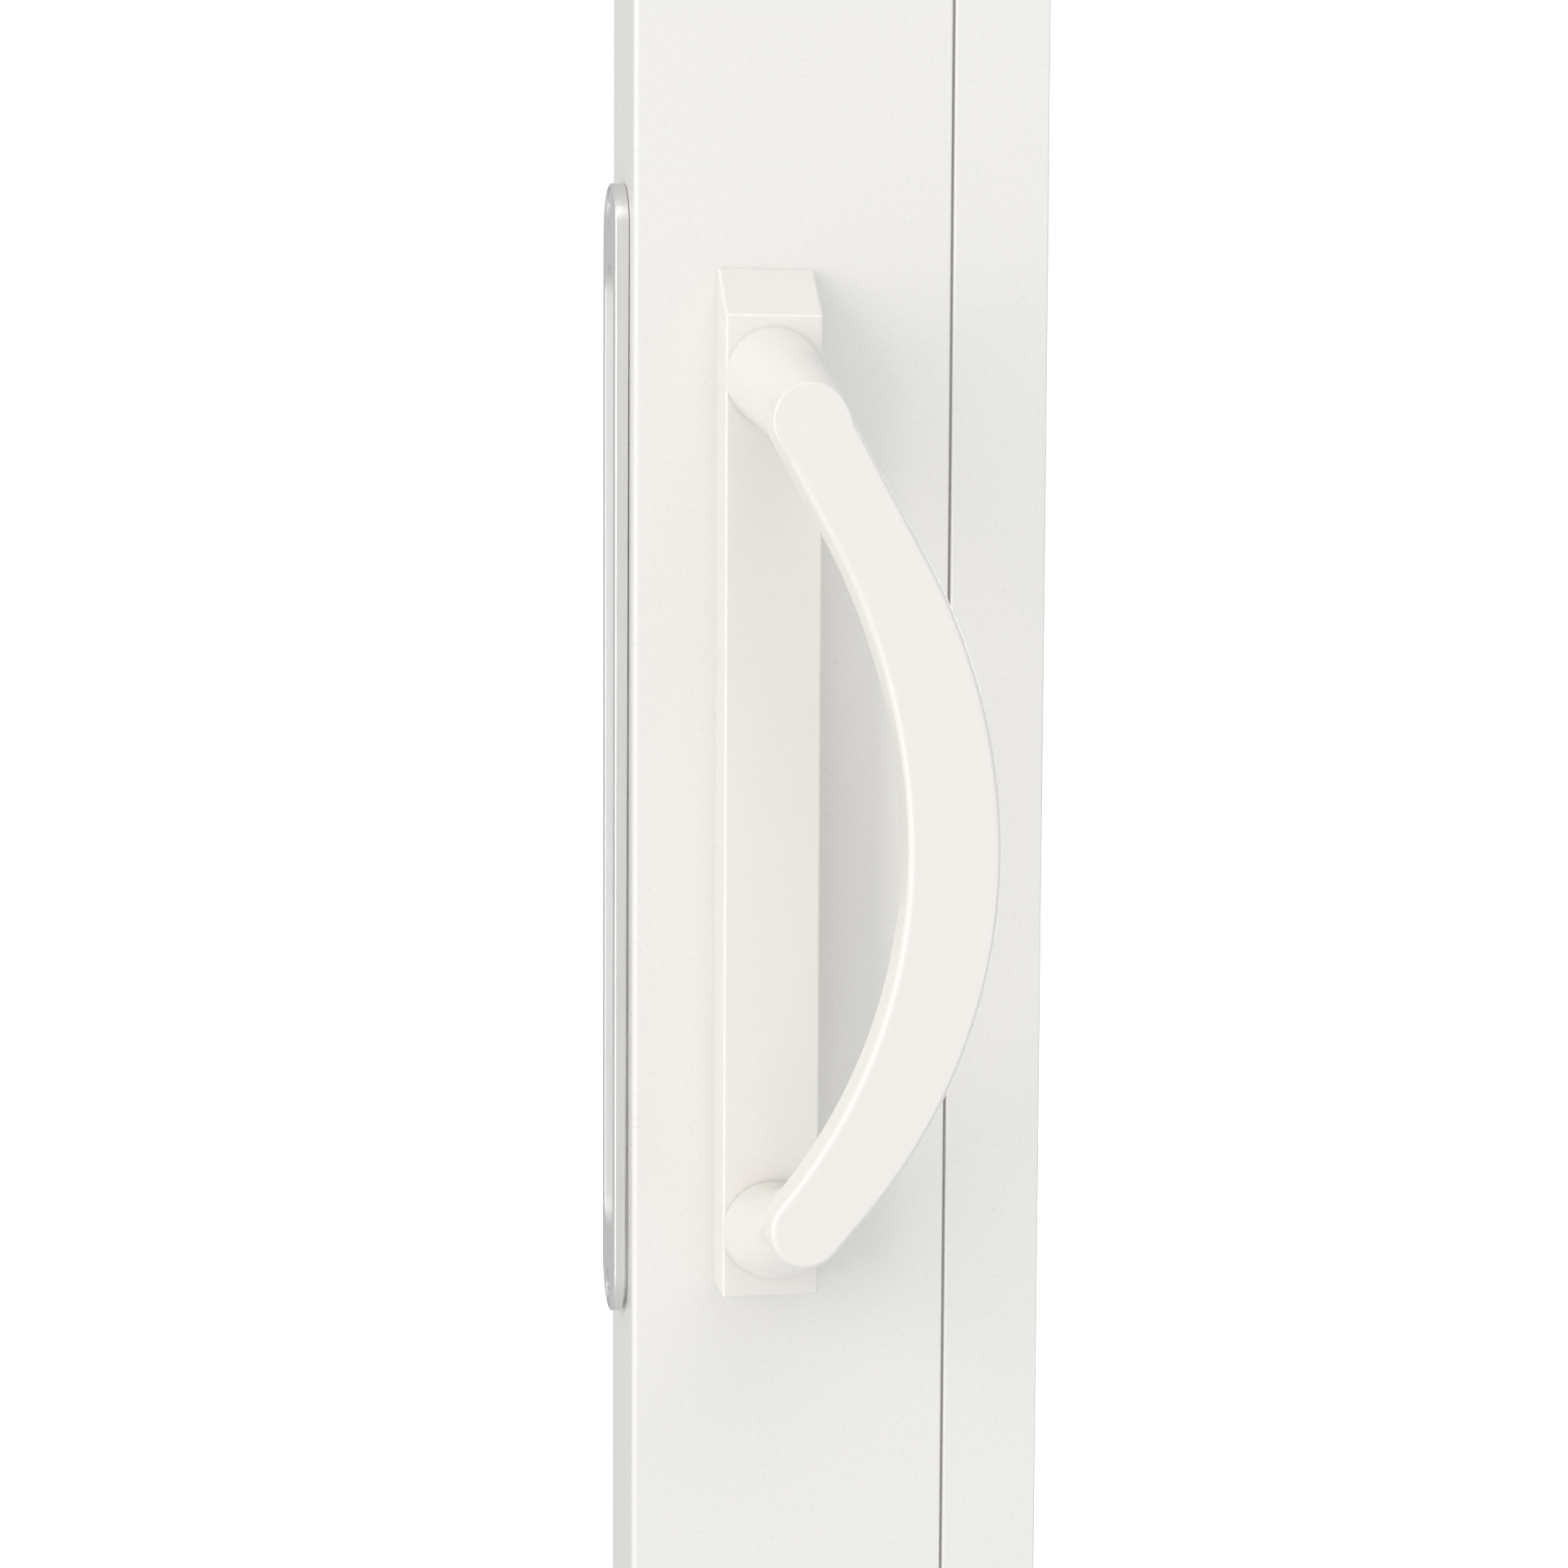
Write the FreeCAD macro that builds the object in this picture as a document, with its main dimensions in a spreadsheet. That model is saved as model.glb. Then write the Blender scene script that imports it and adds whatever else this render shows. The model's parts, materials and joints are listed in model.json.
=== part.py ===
import FreeCAD, Part
import math
import os
import Sketcher

# Sliding window sash with a bowed turning handle and a two-hook lock in its closing stile.
# X runs from the closing edge (x = 0) into the sash, Y from the room (negative) to the outside,
# Z up from the lowest line of the sash.  All sizes are millimetres.

doc = FreeCAD.newDocument("WindowSash")

DRIVING_SIZES = {
    # frame profiles
    "sash_width": 600,
    "sash_height": 850,
    "sash_depth": 40,
    "edge_round": 1.5,
    "inner_round": 0.5,
    "wall": 2,
    "lock_face": 80,
    "meeting_face": 60,
    "rail_face": 70,
    "channel_depth": 28,
    "flange_wall": 3,
    "interlock_reach": 10,
    "interlock_lip": 14,
    "cleat_length": 30,
    "cleat_gap": 0.1,
    "cap_thickness": 3,
    "pile_left": 6,
    "pile_width": 6,
    "pile_depth": 4,
    "pile_end_gap": 20,
    "interlock_pile_depth": 2,
    # glazing
    "bead_face": 25.4,
    "bead_depth": 11,
    "bead_seam": 0.7,
    "bead_round": 0.8,
    "bead_wall": 1.5,
    "pane": 4,
    "cavity": 12,
    "inner_seal": 3,
    "glass_bite": 5,
    "spacer_height": 6,
    "gasket_width": 6,
    "setting_block_length": 60,
    "setting_block_inset": 90,
    # rollers
    "roller_offset": 150,
    "roller_height": 15,
    "wheel_radius": 10.5,
    "axle_radius": 2.5,
    "wheel_width": 9,
    "wheel_groove_offset": 1,
    "wheel_groove_radius": 3.2,
    "housing_half_length": 32,
    "housing_half_width": 8,
    "housing_wall": 1.5,
    "housing_roof": 2,
    "housing_rim": 6,
    "roller_screw_offset": 22,
    # top guides
    "guide_inset": 60,
    "guide_half_length": 18,
    "guide_drop": 8,
    "guide_gap": 0.2,
    "guide_slot_half": 4,
    "guide_slot_depth": 2,
    # escutcheon and handle
    "grip_x": 32.7,
    "plate_centre": 425,
    "plate_length": 254,
    "plate_width": 24.2,
    "plate_depth": 13.5,
    "plate_bevel": 12,
    "cover_round": 0.8,
    "cover_wall": 2,
    "foot_pad_radius": 7.5,
    "foot_pad_depth": 1.6,
    "base_plate": 4,
    "base_half_width": 10,
    "base_screw_offset": 75,
    "nut_radius": 4.5,
    "nut_length": 11.6,
    "pivot_height": 525,
    "foot_height": 315,
    "post_radius": 12.1,
    "grip_standoff": 60,
    "bar_thickness": 10,
    "bar_round": 1.6,
    "bar_end_radius": 8.9,
    "bar_inset": 12.2,
    "foot_inset": 12.2,
    "bow_height": 413,
    "bow_inner": 23.2,
    "bow_outer": 45.3,
    "lean_top": 29,
    "lean_bottom": 41,
    "running_gap": 0.3,
    "shaft_gap": 0.05,
    "stem_radius": 6.5,
    "bush_radius": 8,
    "spindle_side": 7,
    "clip_groove": 1,
    "clip_setback": 1.7,
    "spring_drop": 16.5,
    "spring_half_width": 5.5,
    # edge plate
    "edge_centre": 430.4,
    "edge_length": 288,
    "edge_width": 24,
    "edge_thickness": 3.6,
    "dish_width": 16,
    "dish_length": 250,
    "dish_floor": 2.6,
    "dish_wall": 1.4,
    "screw_inset": 5.6,
    "edge_plate_round": 0.9,
    "edge_screw_radius": 2,
    "edge_screw_head": 4.3,
    "edge_screw_sink": 2.4,
    "edge_screw_length": 12,
    "edge_screw_recess": 0.1,
    "cross_reach": 2.4,
    "cross_half_width": 0.45,
    "cross_depth": 1.6,
    "nut_plate_thickness": 4,
    "nut_plate_half_width": 9,
    "nut_plate_half_height": 7,
    # lock
    "gear_module": 1,
    "gear_teeth": 16,
    "rack_pitch_left": 19,
    "upper_hook_height": 500,
    "lower_hook_height": 360,
    "case_width": 15,
    "case_wall": 1.5,
    "case_right": 46,
    "hook_reach": 26,
    "hook_thickness": 4,
    "hook_slot_rise": 5.5,
    "pin_radius": 2.5,
    "hub_radius": 6,
    "case_post_radius": 3,
    "case_post_inset": 5,
    "rack_end_below": 8,
    "rack_end_above": 20,
    "rack_guide_half": 10,
    "rack_guide_gap": 0.2,
}

sheet = doc.addObject("Spreadsheet::Sheet", "Sizes")
for row, (alias, number) in enumerate(DRIVING_SIZES.items(), start=1):
    sheet.set("A%d" % row, alias)
    sheet.set("B%d" % row, str(number))
    sheet.setAlias("B%d" % row, alias)
doc.recompute()


class Size:
    """A length that knows its value and the spreadsheet expression it comes from."""

    def __init__(self, value, text):
        self.value = float(value)
        self.text = text

    def __add__(self, other):
        other = as_size(other)
        return Size(self.value + other.value, "(%s + %s)" % (self.text, other.text))

    def __sub__(self, other):
        other = as_size(other)
        return Size(self.value - other.value, "(%s - %s)" % (self.text, other.text))

    def __mul__(self, other):
        other = as_size(other)
        return Size(self.value * other.value, "(%s * %s)" % (self.text, other.text))

    def __truediv__(self, other):
        other = as_size(other)
        return Size(self.value / other.value, "(%s / %s)" % (self.text, other.text))

    def __radd__(self, other):
        return as_size(other) + self

    def __rsub__(self, other):
        return as_size(other) - self

    def __rmul__(self, other):
        return as_size(other) * self

    def __neg__(self):
        return as_size(0) - self


def as_size(number):
    if isinstance(number, Size):
        return number
    return Size(number, "(%.9g)" % number)


class Sheet:
    """Every driving size of the spreadsheet as a Size of the same name."""


S = Sheet()
for alias in DRIVING_SIZES:
    setattr(S, alias, Size(sheet.get(alias), "Sizes." + alias))


# ---------------------------------------------------------------- building helpers

def bind(obj, prop, size):
    obj.setExpression(prop, as_size(size).text)


def place(obj, x, y, z):
    for axis, size in (("x", x), ("y", y), ("z", z)):
        bind(obj, "Placement.Base." + axis, size)


def box(name, x_span, y_span, z_span):
    solid = doc.addObject("Part::Box", name)
    spans = (("Length", x_span), ("Width", y_span), ("Height", z_span))
    for prop, (low, high) in spans:
        bind(solid, prop, as_size(high) - low)
    place(solid, x_span[0], y_span[0], z_span[0])
    return solid


TURNS = {
    "X": FreeCAD.Rotation(FreeCAD.Vector(0, 1, 0), 90),
    "Y": FreeCAD.Rotation(FreeCAD.Vector(1, 0, 0), -90),
    "Z": FreeCAD.Rotation(),
}


def rod(name, axis, radius, start, length):
    """A cylinder that starts at a point and runs along +X, +Y or +Z."""
    solid = doc.addObject("Part::Cylinder", name)
    bind(solid, "Radius", radius)
    bind(solid, "Height", length)
    solid.Placement = FreeCAD.Placement(FreeCAD.Vector(), TURNS[axis])
    place(solid, *start)
    return solid


def cone(name, axis, first_radius, last_radius, start, length):
    solid = doc.addObject("Part::Cone", name)
    bind(solid, "Radius1", first_radius)
    bind(solid, "Radius2", last_radius)
    bind(solid, "Height", length)
    solid.Placement = FreeCAD.Placement(FreeCAD.Vector(), TURNS[axis])
    place(solid, *start)
    return solid


def fuse(name, *solids):
    joined = doc.addObject("Part::MultiFuse", name)
    joined.Shapes = list(solids)
    return joined


def cut(name, base, *tools):
    tool = tools[0] if len(tools) == 1 else fuse(name + "_tools", *tools)
    result = doc.addObject("Part::Cut", name)
    result.Base = base
    result.Tool = tool
    return result


def group(name, *solids):
    compound = doc.addObject("Part::Compound", name)
    compound.Links = list(solids)
    return compound


def body(name):
    return doc.addObject("PartDesign::Body", name)


def sketch_on(owner, role, offset=0):
    """A sketch on one of the body's own origin planes, moved along the plane's normal."""
    sketch = owner.newObject("Sketcher::SketchObject", owner.Name + "_sketch")
    plane = [item for item in owner.Origin.OriginFeatures if item.Role == role][0]
    sketch.AttachmentSupport = [(plane, "")]
    sketch.MapMode = "FlatFace"
    bind(sketch, "AttachmentOffset.Base.z", offset)
    return sketch


ORIGIN_POINT = (-1, 1)
START, END, CENTRE = 1, 2, 3


def fix_point(sketch, geometry, point, x, y):
    """Tie a point of the sketch to its coordinates."""
    for kind, size in (("DistanceX", as_size(x)), ("DistanceY", as_size(y))):
        if abs(size.value) < 1e-9:
            on_axis = -2 if kind == "DistanceX" else -1
            sketch.addConstraint(Sketcher.Constraint("PointOnObject", geometry, point, on_axis))
            continue
        index = sketch.addConstraint(
            Sketcher.Constraint(kind, *ORIGIN_POINT, geometry, point, size.value))
        bind(sketch, "Constraints[%d]" % index, size)


def outline(sketch, corners):
    """A closed outline of straight sides; a corner is (x, y) or (x, y, radius).

    The sides that meet at a rounded corner run along the sketch's two axes.
    """
    corners = [tuple(as_size(part) for part in corner) for corner in corners]
    count = len(corners)
    points = [FreeCAD.Vector(c[0].value, c[1].value, 0) for c in corners]

    def step(index, toward):
        direction = points[toward] - points[index]
        direction.normalize()
        return direction

    lines = []
    for index in range(count):
        following = (index + 1) % count
        start, end = points[index], points[following]
        direction = step(index, following)
        if len(corners[index]) == 3:
            start = start + direction * corners[index][2].value
        if len(corners[following]) == 3:
            end = end - direction * corners[following][2].value
        lines.append(sketch.addGeometry(Part.LineSegment(start, end), False))
    for index, corner in enumerate(corners):
        before, after = lines[index - 1], lines[index]
        if len(corner) == 2:
            sketch.addConstraint(Sketcher.Constraint("Coincident", before, END, after, START))
            fix_point(sketch, after, START, corner[0], corner[1])
            continue
        radius = corner[2]
        back, ahead = step(index, index - 1), step(index, (index + 1) % count)
        inward = back + ahead
        centre = points[index] + inward * radius.value
        middle = centre - inward * (radius.value / math.sqrt(2))
        arc = sketch.addGeometry(Part.Arc(points[index] + back * radius.value, middle,
                                          points[index] + ahead * radius.value), False)
        curve = sketch.Geometry[arc]
        starts_before = curve.StartPoint.distanceToPoint(
            points[index] + back * radius.value) < 1e-6
        near, far = (START, END) if starts_before else (END, START)
        sketch.addConstraint(Sketcher.Constraint("Tangent", before, END, arc, near))
        sketch.addConstraint(Sketcher.Constraint("Tangent", arc, far, after, START))
        index_radius = sketch.addConstraint(Sketcher.Constraint("Radius", arc, radius.value))
        bind(sketch, "Constraints[%d]" % index_radius, radius)
        x_centre = corner[0] + radius * as_size(round(inward.x))
        y_centre = corner[1] + radius * as_size(round(inward.y))
        fix_point(sketch, arc, CENTRE, x_centre, y_centre)


def stadium(sketch, half_width, span):
    """An upright outline with two half-round ends, centred on the sketch's vertical axis."""
    low, high = as_size(span[0]) + half_width, as_size(span[1]) - half_width
    reach = as_size(half_width).value
    left = sketch.addGeometry(Part.LineSegment(FreeCAD.Vector(-reach, high.value, 0),
                                               FreeCAD.Vector(-reach, low.value, 0)), False)
    right = sketch.addGeometry(Part.LineSegment(FreeCAD.Vector(reach, low.value, 0),
                                                FreeCAD.Vector(reach, high.value, 0)), False)
    for centre, way in ((low, -1), (high, 1)):
        round_end = Part.Circle(FreeCAD.Vector(0, centre.value, 0), FreeCAD.Vector(0, 0, 1), reach)
        first = math.pi if way < 0 else 0
        arc = sketch.addGeometry(Part.ArcOfCircle(round_end, first, first + math.pi), False)
        ends = (left, END, right, START) if way < 0 else (right, END, left, START)
        sketch.addConstraint(Sketcher.Constraint("Tangent", ends[0], ends[1], arc, START))
        sketch.addConstraint(Sketcher.Constraint("Tangent", arc, END, ends[2], ends[3]))
        index = sketch.addConstraint(Sketcher.Constraint("Radius", arc, reach))
        bind(sketch, "Constraints[%d]" % index, half_width)
        fix_point(sketch, arc, CENTRE, 0, centre)


def pad(owner, sketch, length, backwards=False):
    feature = owner.newObject("PartDesign::Pad", owner.Name + "_pad")
    feature.Profile = sketch
    bind(feature, "Length", length)
    feature.Reversed = backwards
    owner.Tip = feature
    doc.recompute()
    return feature


def pocket(owner, sketch, length, backwards=False):
    volume = owner.Shape.Volume
    feature = owner.newObject("PartDesign::Pocket", owner.Name + "_pocket")
    feature.Profile = sketch
    bind(feature, "Length", length)
    feature.Reversed = backwards
    owner.Tip = feature
    doc.recompute()
    if owner.Shape.Volume > volume - 1e-3:
        raise RuntimeError(owner.Name + ": a pocket removes nothing")
    return feature


def extrusion(name, plane, start, length, *outlines):
    """A straight profile: the first outline is its outside, the others its chambers."""
    owner = body(name)
    sketch = sketch_on(owner, plane, start)
    for corners in outlines:
        outline(sketch, corners)
    pad(owner, sketch, length)
    return owner


def rectangle(x_span, y_span, radius=None):
    (x_low, x_high), (y_low, y_high) = x_span, y_span
    corners = [(x_low, y_low), (x_high, y_low), (x_high, y_high), (x_low, y_high)]
    if radius is None:
        return corners
    return [corner + (radius,) for corner in corners]


NODES = {}


def keep(node, obj):
    """Name a finished sub-part; the label becomes its file name."""
    obj.Label = node
    NODES[node] = obj
    return obj


# ---------------------------------------------------------------- shared places

room_face = -S.sash_depth / 2
outer_face = S.sash_depth / 2
right_edge = S.sash_width
meeting_x = S.sash_width - S.meeting_face
top_rail_z = S.sash_height - S.rail_face
flange_y = outer_face - S.flange_wall

bead_back = room_face + S.bead_depth
inner_pane_y = bead_back + S.inner_seal
spacer_y = inner_pane_y + S.pane
outer_pane_y = spacer_y + S.cavity
outer_seal_y = outer_pane_y + S.pane

sight = {
    "x": (S.lock_face + S.bead_face, meeting_x - S.bead_face),
    "z": (S.rail_face + S.bead_face, top_rail_z - S.bead_face),
}
glass_x = (S.lock_face + S.glass_bite, meeting_x - S.glass_bite)
glass_z = (S.rail_face + S.glass_bite, top_rail_z - S.glass_bite)

plate_front = room_face - S.plate_depth
lever_base = plate_front - S.running_gap
bar_front = room_face - S.grip_standoff
bar_back = bar_front + S.bar_thickness


# ---------------------------------------------------------------- screws that other parts are cut by

FRAME_SCREW = {"shank_radius": 2.1, "length": 20, "head_radius": 4, "head_height": 3}
BASE_SCREW = {"shank_radius": 2.5, "length": 14, "head_radius": 4.2, "head_height": 2.6}
ROLLER_SCREW = {"shank_radius": 2, "length": 6, "head_radius": 3.5, "head_height": 2}
GUIDE_SCREW = {"shank_radius": 2, "length": 26, "head_radius": 3.5, "head_height": 2}
CASE_SCREW = {"shank_radius": 1.4, "length": 8, "head_radius": 2.6, "head_height": 1.2}
OVERCUT = 1


def screw(name, axis, head_start, sizes, reverse=False):
    """A plain screw along one axis; reversed, its head's far face is at the start."""
    order = "XYZ".index(axis)
    head_height = as_size(sizes["head_height"])

    def shifted(distance):
        point = [as_size(part) for part in head_start]
        point[order] = point[order] + distance
        return point

    head_shift = -head_height if reverse else as_size(0)
    shank_shift = -head_height - sizes["length"] if reverse else head_height
    head = rod(name + "_head", axis, sizes["head_radius"], shifted(head_shift), head_height)
    shank = rod(name + "_shank", axis, sizes["shank_radius"], shifted(shank_shift), sizes["length"])
    return fuse(name, head, shank)


cleat_heights = {
    "bottom": (S.channel_depth + S.wall, S.rail_face - S.wall),
    "top": (top_rail_z + S.wall, S.sash_height - S.channel_depth - S.wall),
}

frame_screws = []
left_head = S.lock_face - S.wall - FRAME_SCREW["head_height"]
right_head = meeting_x + S.wall + FRAME_SCREW["head_height"]
for level, (low, high) in cleat_heights.items():
    for number, share in enumerate((0.25, 0.75)):
        height = low + (high - low) * share
        frame_screws.append(screw("frame_screw_left_%s_%d" % (level, number), "X",
                                  (left_head, 0, height), FRAME_SCREW))
        frame_screws.append(screw("frame_screw_right_%s_%d" % (level, number), "X",
                                  (right_head, 0, height), FRAME_SCREW, reverse=True))
keep("frame_screws", group("frame_screw_group", *frame_screws))

base_screw_heights = (S.plate_centre + S.base_screw_offset, S.plate_centre - S.base_screw_offset)
base_plate_y = room_face - S.base_plate
base_head_y = base_plate_y - BASE_SCREW["head_height"]
base_screws = [screw("base_screw_%d" % number, "Y", (S.grip_x, base_head_y, height), BASE_SCREW)
               for number, height in enumerate(base_screw_heights)]
keep("base_screws", group("base_screw_group", *base_screws))

edge_outer = -S.edge_thickness
edge_screw_heights = (
    S.edge_centre + S.edge_length / 2 - S.screw_inset,
    S.edge_centre - S.edge_length / 2 + S.screw_inset,
)


# ---------------------------------------------------------------- frame profiles

def flange_notches(name, x_span):
    """Where a stile's glazing flange is milled away to let the rails' flanges in."""
    y_span = flange_y - OVERCUT, outer_face + OVERCUT
    return [
        box(name + "_notch_bottom", x_span, y_span, (-OVERCUT, sight["z"][0])),
        box(name + "_notch_top", x_span, y_span, (sight["z"][1], S.sash_height + OVERCUT)),
    ]


LOCK_SLOT_EDGE = 2.4
LOCK_SLOT_END = 1.5
SLOT_DEPTH_GAP = 0.5
STEM_HOLE_GAP = 1
SCREW_HOLE_GAP = 0.05


def lock_stile():
    blank = extrusion(
        "lock_stile_profile", "XY_Plane", 0, S.sash_height,
        [(0, room_face, S.edge_round), (S.lock_face, room_face, S.inner_round),
         (S.lock_face, flange_y), (sight["x"][0], flange_y),
         (sight["x"][0], outer_face), (0, outer_face, S.edge_round)],
        rectangle((S.wall, S.lock_face - S.wall),
                  (room_face + S.wall, outer_face - S.wall)))
    slot_half = S.edge_width / 2 - LOCK_SLOT_EDGE
    slot_reach = S.dish_length / 2 + LOCK_SLOT_END
    lock_slot = box("lock_slot", (-OVERCUT, S.wall + SLOT_DEPTH_GAP), (-slot_half, slot_half),
                    (S.edge_centre - slot_reach, S.edge_centre + slot_reach))
    through = S.wall + 2 * OVERCUT
    stem_hole = rod("stile_stem_hole", "Y", S.bush_radius + STEM_HOLE_GAP,
                    (S.grip_x, room_face - OVERCUT, S.pivot_height), through)
    screw_holes = [rod("stile_edge_hole_%d" % n, "X", S.edge_screw_radius + SCREW_HOLE_GAP,
                       (-OVERCUT, 0, height), through)
                   for n, height in enumerate(edge_screw_heights)]
    nut_holes = [rod("stile_nut_hole_%d" % n, "Y", S.nut_radius,
                     (S.grip_x, room_face - OVERCUT, height), through)
                 for n, height in enumerate(base_screw_heights)]
    left_screws = [item for item in frame_screws if "left" in item.Name]
    notches = flange_notches("lock", (S.lock_face, sight["x"][0] + OVERCUT))
    return cut("lock_stile_cut", blank, lock_slot, stem_hole, *screw_holes, *nut_holes,
               *left_screws, *notches)


def meeting_stile():
    hook_back = outer_face + S.interlock_reach
    lip_end = right_edge - S.interlock_lip
    blank = extrusion(
        "meeting_stile_profile", "XY_Plane", 0, S.sash_height,
        [(meeting_x, room_face, S.inner_round), (right_edge, room_face, S.edge_round),
         (right_edge, hook_back), (lip_end, hook_back),
         (lip_end, hook_back - S.flange_wall),
         (right_edge - S.flange_wall, hook_back - S.flange_wall),
         (right_edge - S.flange_wall, outer_face), (sight["x"][1], outer_face),
         (sight["x"][1], flange_y), (meeting_x, flange_y)],
        rectangle((meeting_x + S.wall, right_edge - S.wall),
                  (room_face + S.wall, outer_face - S.wall)))
    right_screws = [item for item in frame_screws if "right" in item.Name]
    notches = flange_notches("meeting", (sight["x"][1] - OVERCUT, meeting_x))
    return cut("meeting_stile_cut", blank, *right_screws, *notches)


def rail(level):
    """A rail with its open running channel turned outwards, up or down."""
    inside = room_face + S.wall, outer_face - S.wall
    if level == "bottom":
        rim, web, chamber = as_size(0), S.channel_depth, S.channel_depth + S.wall
        glass_side, chamber_end, flange_end = S.rail_face, S.rail_face - S.wall, sight["z"][0]
    else:
        rim, web = S.sash_height, S.sash_height - S.channel_depth
        chamber, glass_side = web - S.wall, top_rail_z
        chamber_end, flange_end = top_rail_z + S.wall, sight["z"][1]
    return extrusion(
        level + "_rail_profile", "YZ_Plane", S.lock_face, meeting_x - S.lock_face,
        [(room_face, rim), (inside[0], rim), (inside[0], web), (inside[1], web),
         (inside[1], rim), (outer_face, rim), (outer_face, flange_end), (flange_y, flange_end),
         (flange_y, glass_side), (room_face, glass_side)],
        rectangle(inside, (chamber, chamber_end)))


keep("lock_stile", lock_stile())
keep("meeting_stile", meeting_stile())

roller_centres = {
    "left": S.lock_face + S.roller_offset / 2,
    "right": meeting_x - S.roller_offset / 2,
}
roller_screws = []
roller_head_z = S.channel_depth - S.housing_roof - ROLLER_SCREW["head_height"]
for side, centre in roller_centres.items():
    for number, shift in enumerate((-S.roller_screw_offset, S.roller_screw_offset)):
        roller_screws.append(screw("roller_screw_%s_%d" % (side, number), "Z",
                                   (centre + shift, 0, roller_head_z), ROLLER_SCREW))
keep("roller_screws", group("roller_screw_group", *roller_screws))

guide_top = S.sash_height - S.guide_drop
guide_centres = (S.lock_face + S.guide_inset, meeting_x - S.guide_inset)
guide_screws = [screw("guide_screw_%d" % n, "Z", (centre, 0, guide_top), GUIDE_SCREW, reverse=True)
                for n, centre in enumerate(guide_centres)]
keep("guide_screws", group("guide_screw_group", *guide_screws))

keep("bottom_rail", cut("bottom_rail_cut", rail("bottom"), *roller_screws))
keep("top_rail", cut("top_rail_cut", rail("top"), *guide_screws))

cleats = []
cleat_y = room_face + S.wall + S.cleat_gap, outer_face - S.wall - S.cleat_gap
for level, (low, high) in cleat_heights.items():
    for side, start in (("left", S.lock_face), ("right", meeting_x - S.cleat_length)):
        cleats.append(box("cleat_%s_%s" % (level, side), (start, start + S.cleat_length), cleat_y,
                          (low + S.cleat_gap, high - S.cleat_gap)))
keep("corner_cleats", cut("corner_cleats_cut", group("cleat_blocks", *cleats), *frame_screws))

caps = []
for name, start, end in (("lock", 0, S.lock_face), ("meeting", meeting_x, right_edge)):
    cap_x = start + S.wall + S.cleat_gap, end - S.wall - S.cleat_gap
    for level, z_low in (("bottom", as_size(0)), ("top", S.sash_height - S.cap_thickness)):
        caps.append(box("cap_%s_%s" % (name, level), cap_x, cleat_y,
                        (z_low, z_low + S.cap_thickness)))
keep("stile_end_caps", group("stile_caps", *caps))


# ---------------------------------------------------------------- glazing

def bead(name, plane, start, length, across):
    """A hollow snap-in bead; the seam against its profile is left open."""
    spans = [across, (room_face, bead_back)]
    if plane == "YZ_Plane":
        spans.reverse()
    inner_spans = [(low + S.bead_wall, high - S.bead_wall) for low, high in spans]
    outside = rectangle(*spans, S.bead_round)
    chamber = rectangle(*inner_spans)
    return keep(name, extrusion(name + "_profile", plane, start, length, outside, chamber))


inner_length = top_rail_z - S.rail_face
bead("left_bead", "XY_Plane", S.rail_face, inner_length,
     (S.lock_face + S.bead_seam, sight["x"][0]))
bead("right_bead", "XY_Plane", S.rail_face, inner_length,
     (sight["x"][1], meeting_x - S.bead_seam))
bead_span = sight["x"][1] - sight["x"][0]
bead("bottom_bead", "YZ_Plane", sight["x"][0], bead_span,
     (S.rail_face + S.bead_seam, sight["z"][0]))
bead("top_bead", "YZ_Plane", sight["x"][0], bead_span,
     (sight["z"][1], top_rail_z - S.bead_seam))


def ring(name, x_span, y_span, z_span, width):
    outside = box(name + "_outside", x_span, y_span, z_span)
    inside = box(name + "_inside", (x_span[0] + width, x_span[1] - width),
                 (y_span[0] - OVERCUT, y_span[1] + OVERCUT),
                 (z_span[0] + width, z_span[1] - width))
    return keep(name, cut(name + "_cut", outside, inside))


def around(span, distance):
    """The sight opening's span, grown outwards on both sides."""
    return span[0] - distance, span[1] + distance


keep("inner_pane", box("inner_pane_glass", glass_x, (inner_pane_y, spacer_y), glass_z))
keep("outer_pane", box("outer_pane_glass", glass_x, (outer_pane_y, outer_seal_y), glass_z))
seal_band = S.glass_bite * 2
ring("edge_sealant", glass_x, (spacer_y, outer_pane_y), glass_z, seal_band)
spacer_x = glass_x[0] + seal_band, glass_x[1] - seal_band
spacer_z = glass_z[0] + seal_band, glass_z[1] - seal_band
ring("glazing_spacer", spacer_x, (spacer_y, outer_pane_y), spacer_z, S.spacer_height)
ring("inner_gasket", around(sight["x"], S.gasket_width), (bead_back, inner_pane_y),
     around(sight["z"], S.gasket_width), S.gasket_width)
ring("outer_gasket", around(sight["x"], S.gasket_width), (outer_seal_y, flange_y),
     around(sight["z"], S.gasket_width), S.gasket_width)

block_half = S.setting_block_length / 2
block_centres = (S.lock_face + S.setting_block_inset, meeting_x - S.setting_block_inset)
blocks = [box("setting_block_%d" % n, (x - block_half, x + block_half),
              (inner_pane_y, outer_seal_y), (S.rail_face, glass_z[0]))
          for n, x in enumerate(block_centres)]
keep("setting_blocks", group("setting_block_group", *blocks))


# ---------------------------------------------------------------- rollers and guides

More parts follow.
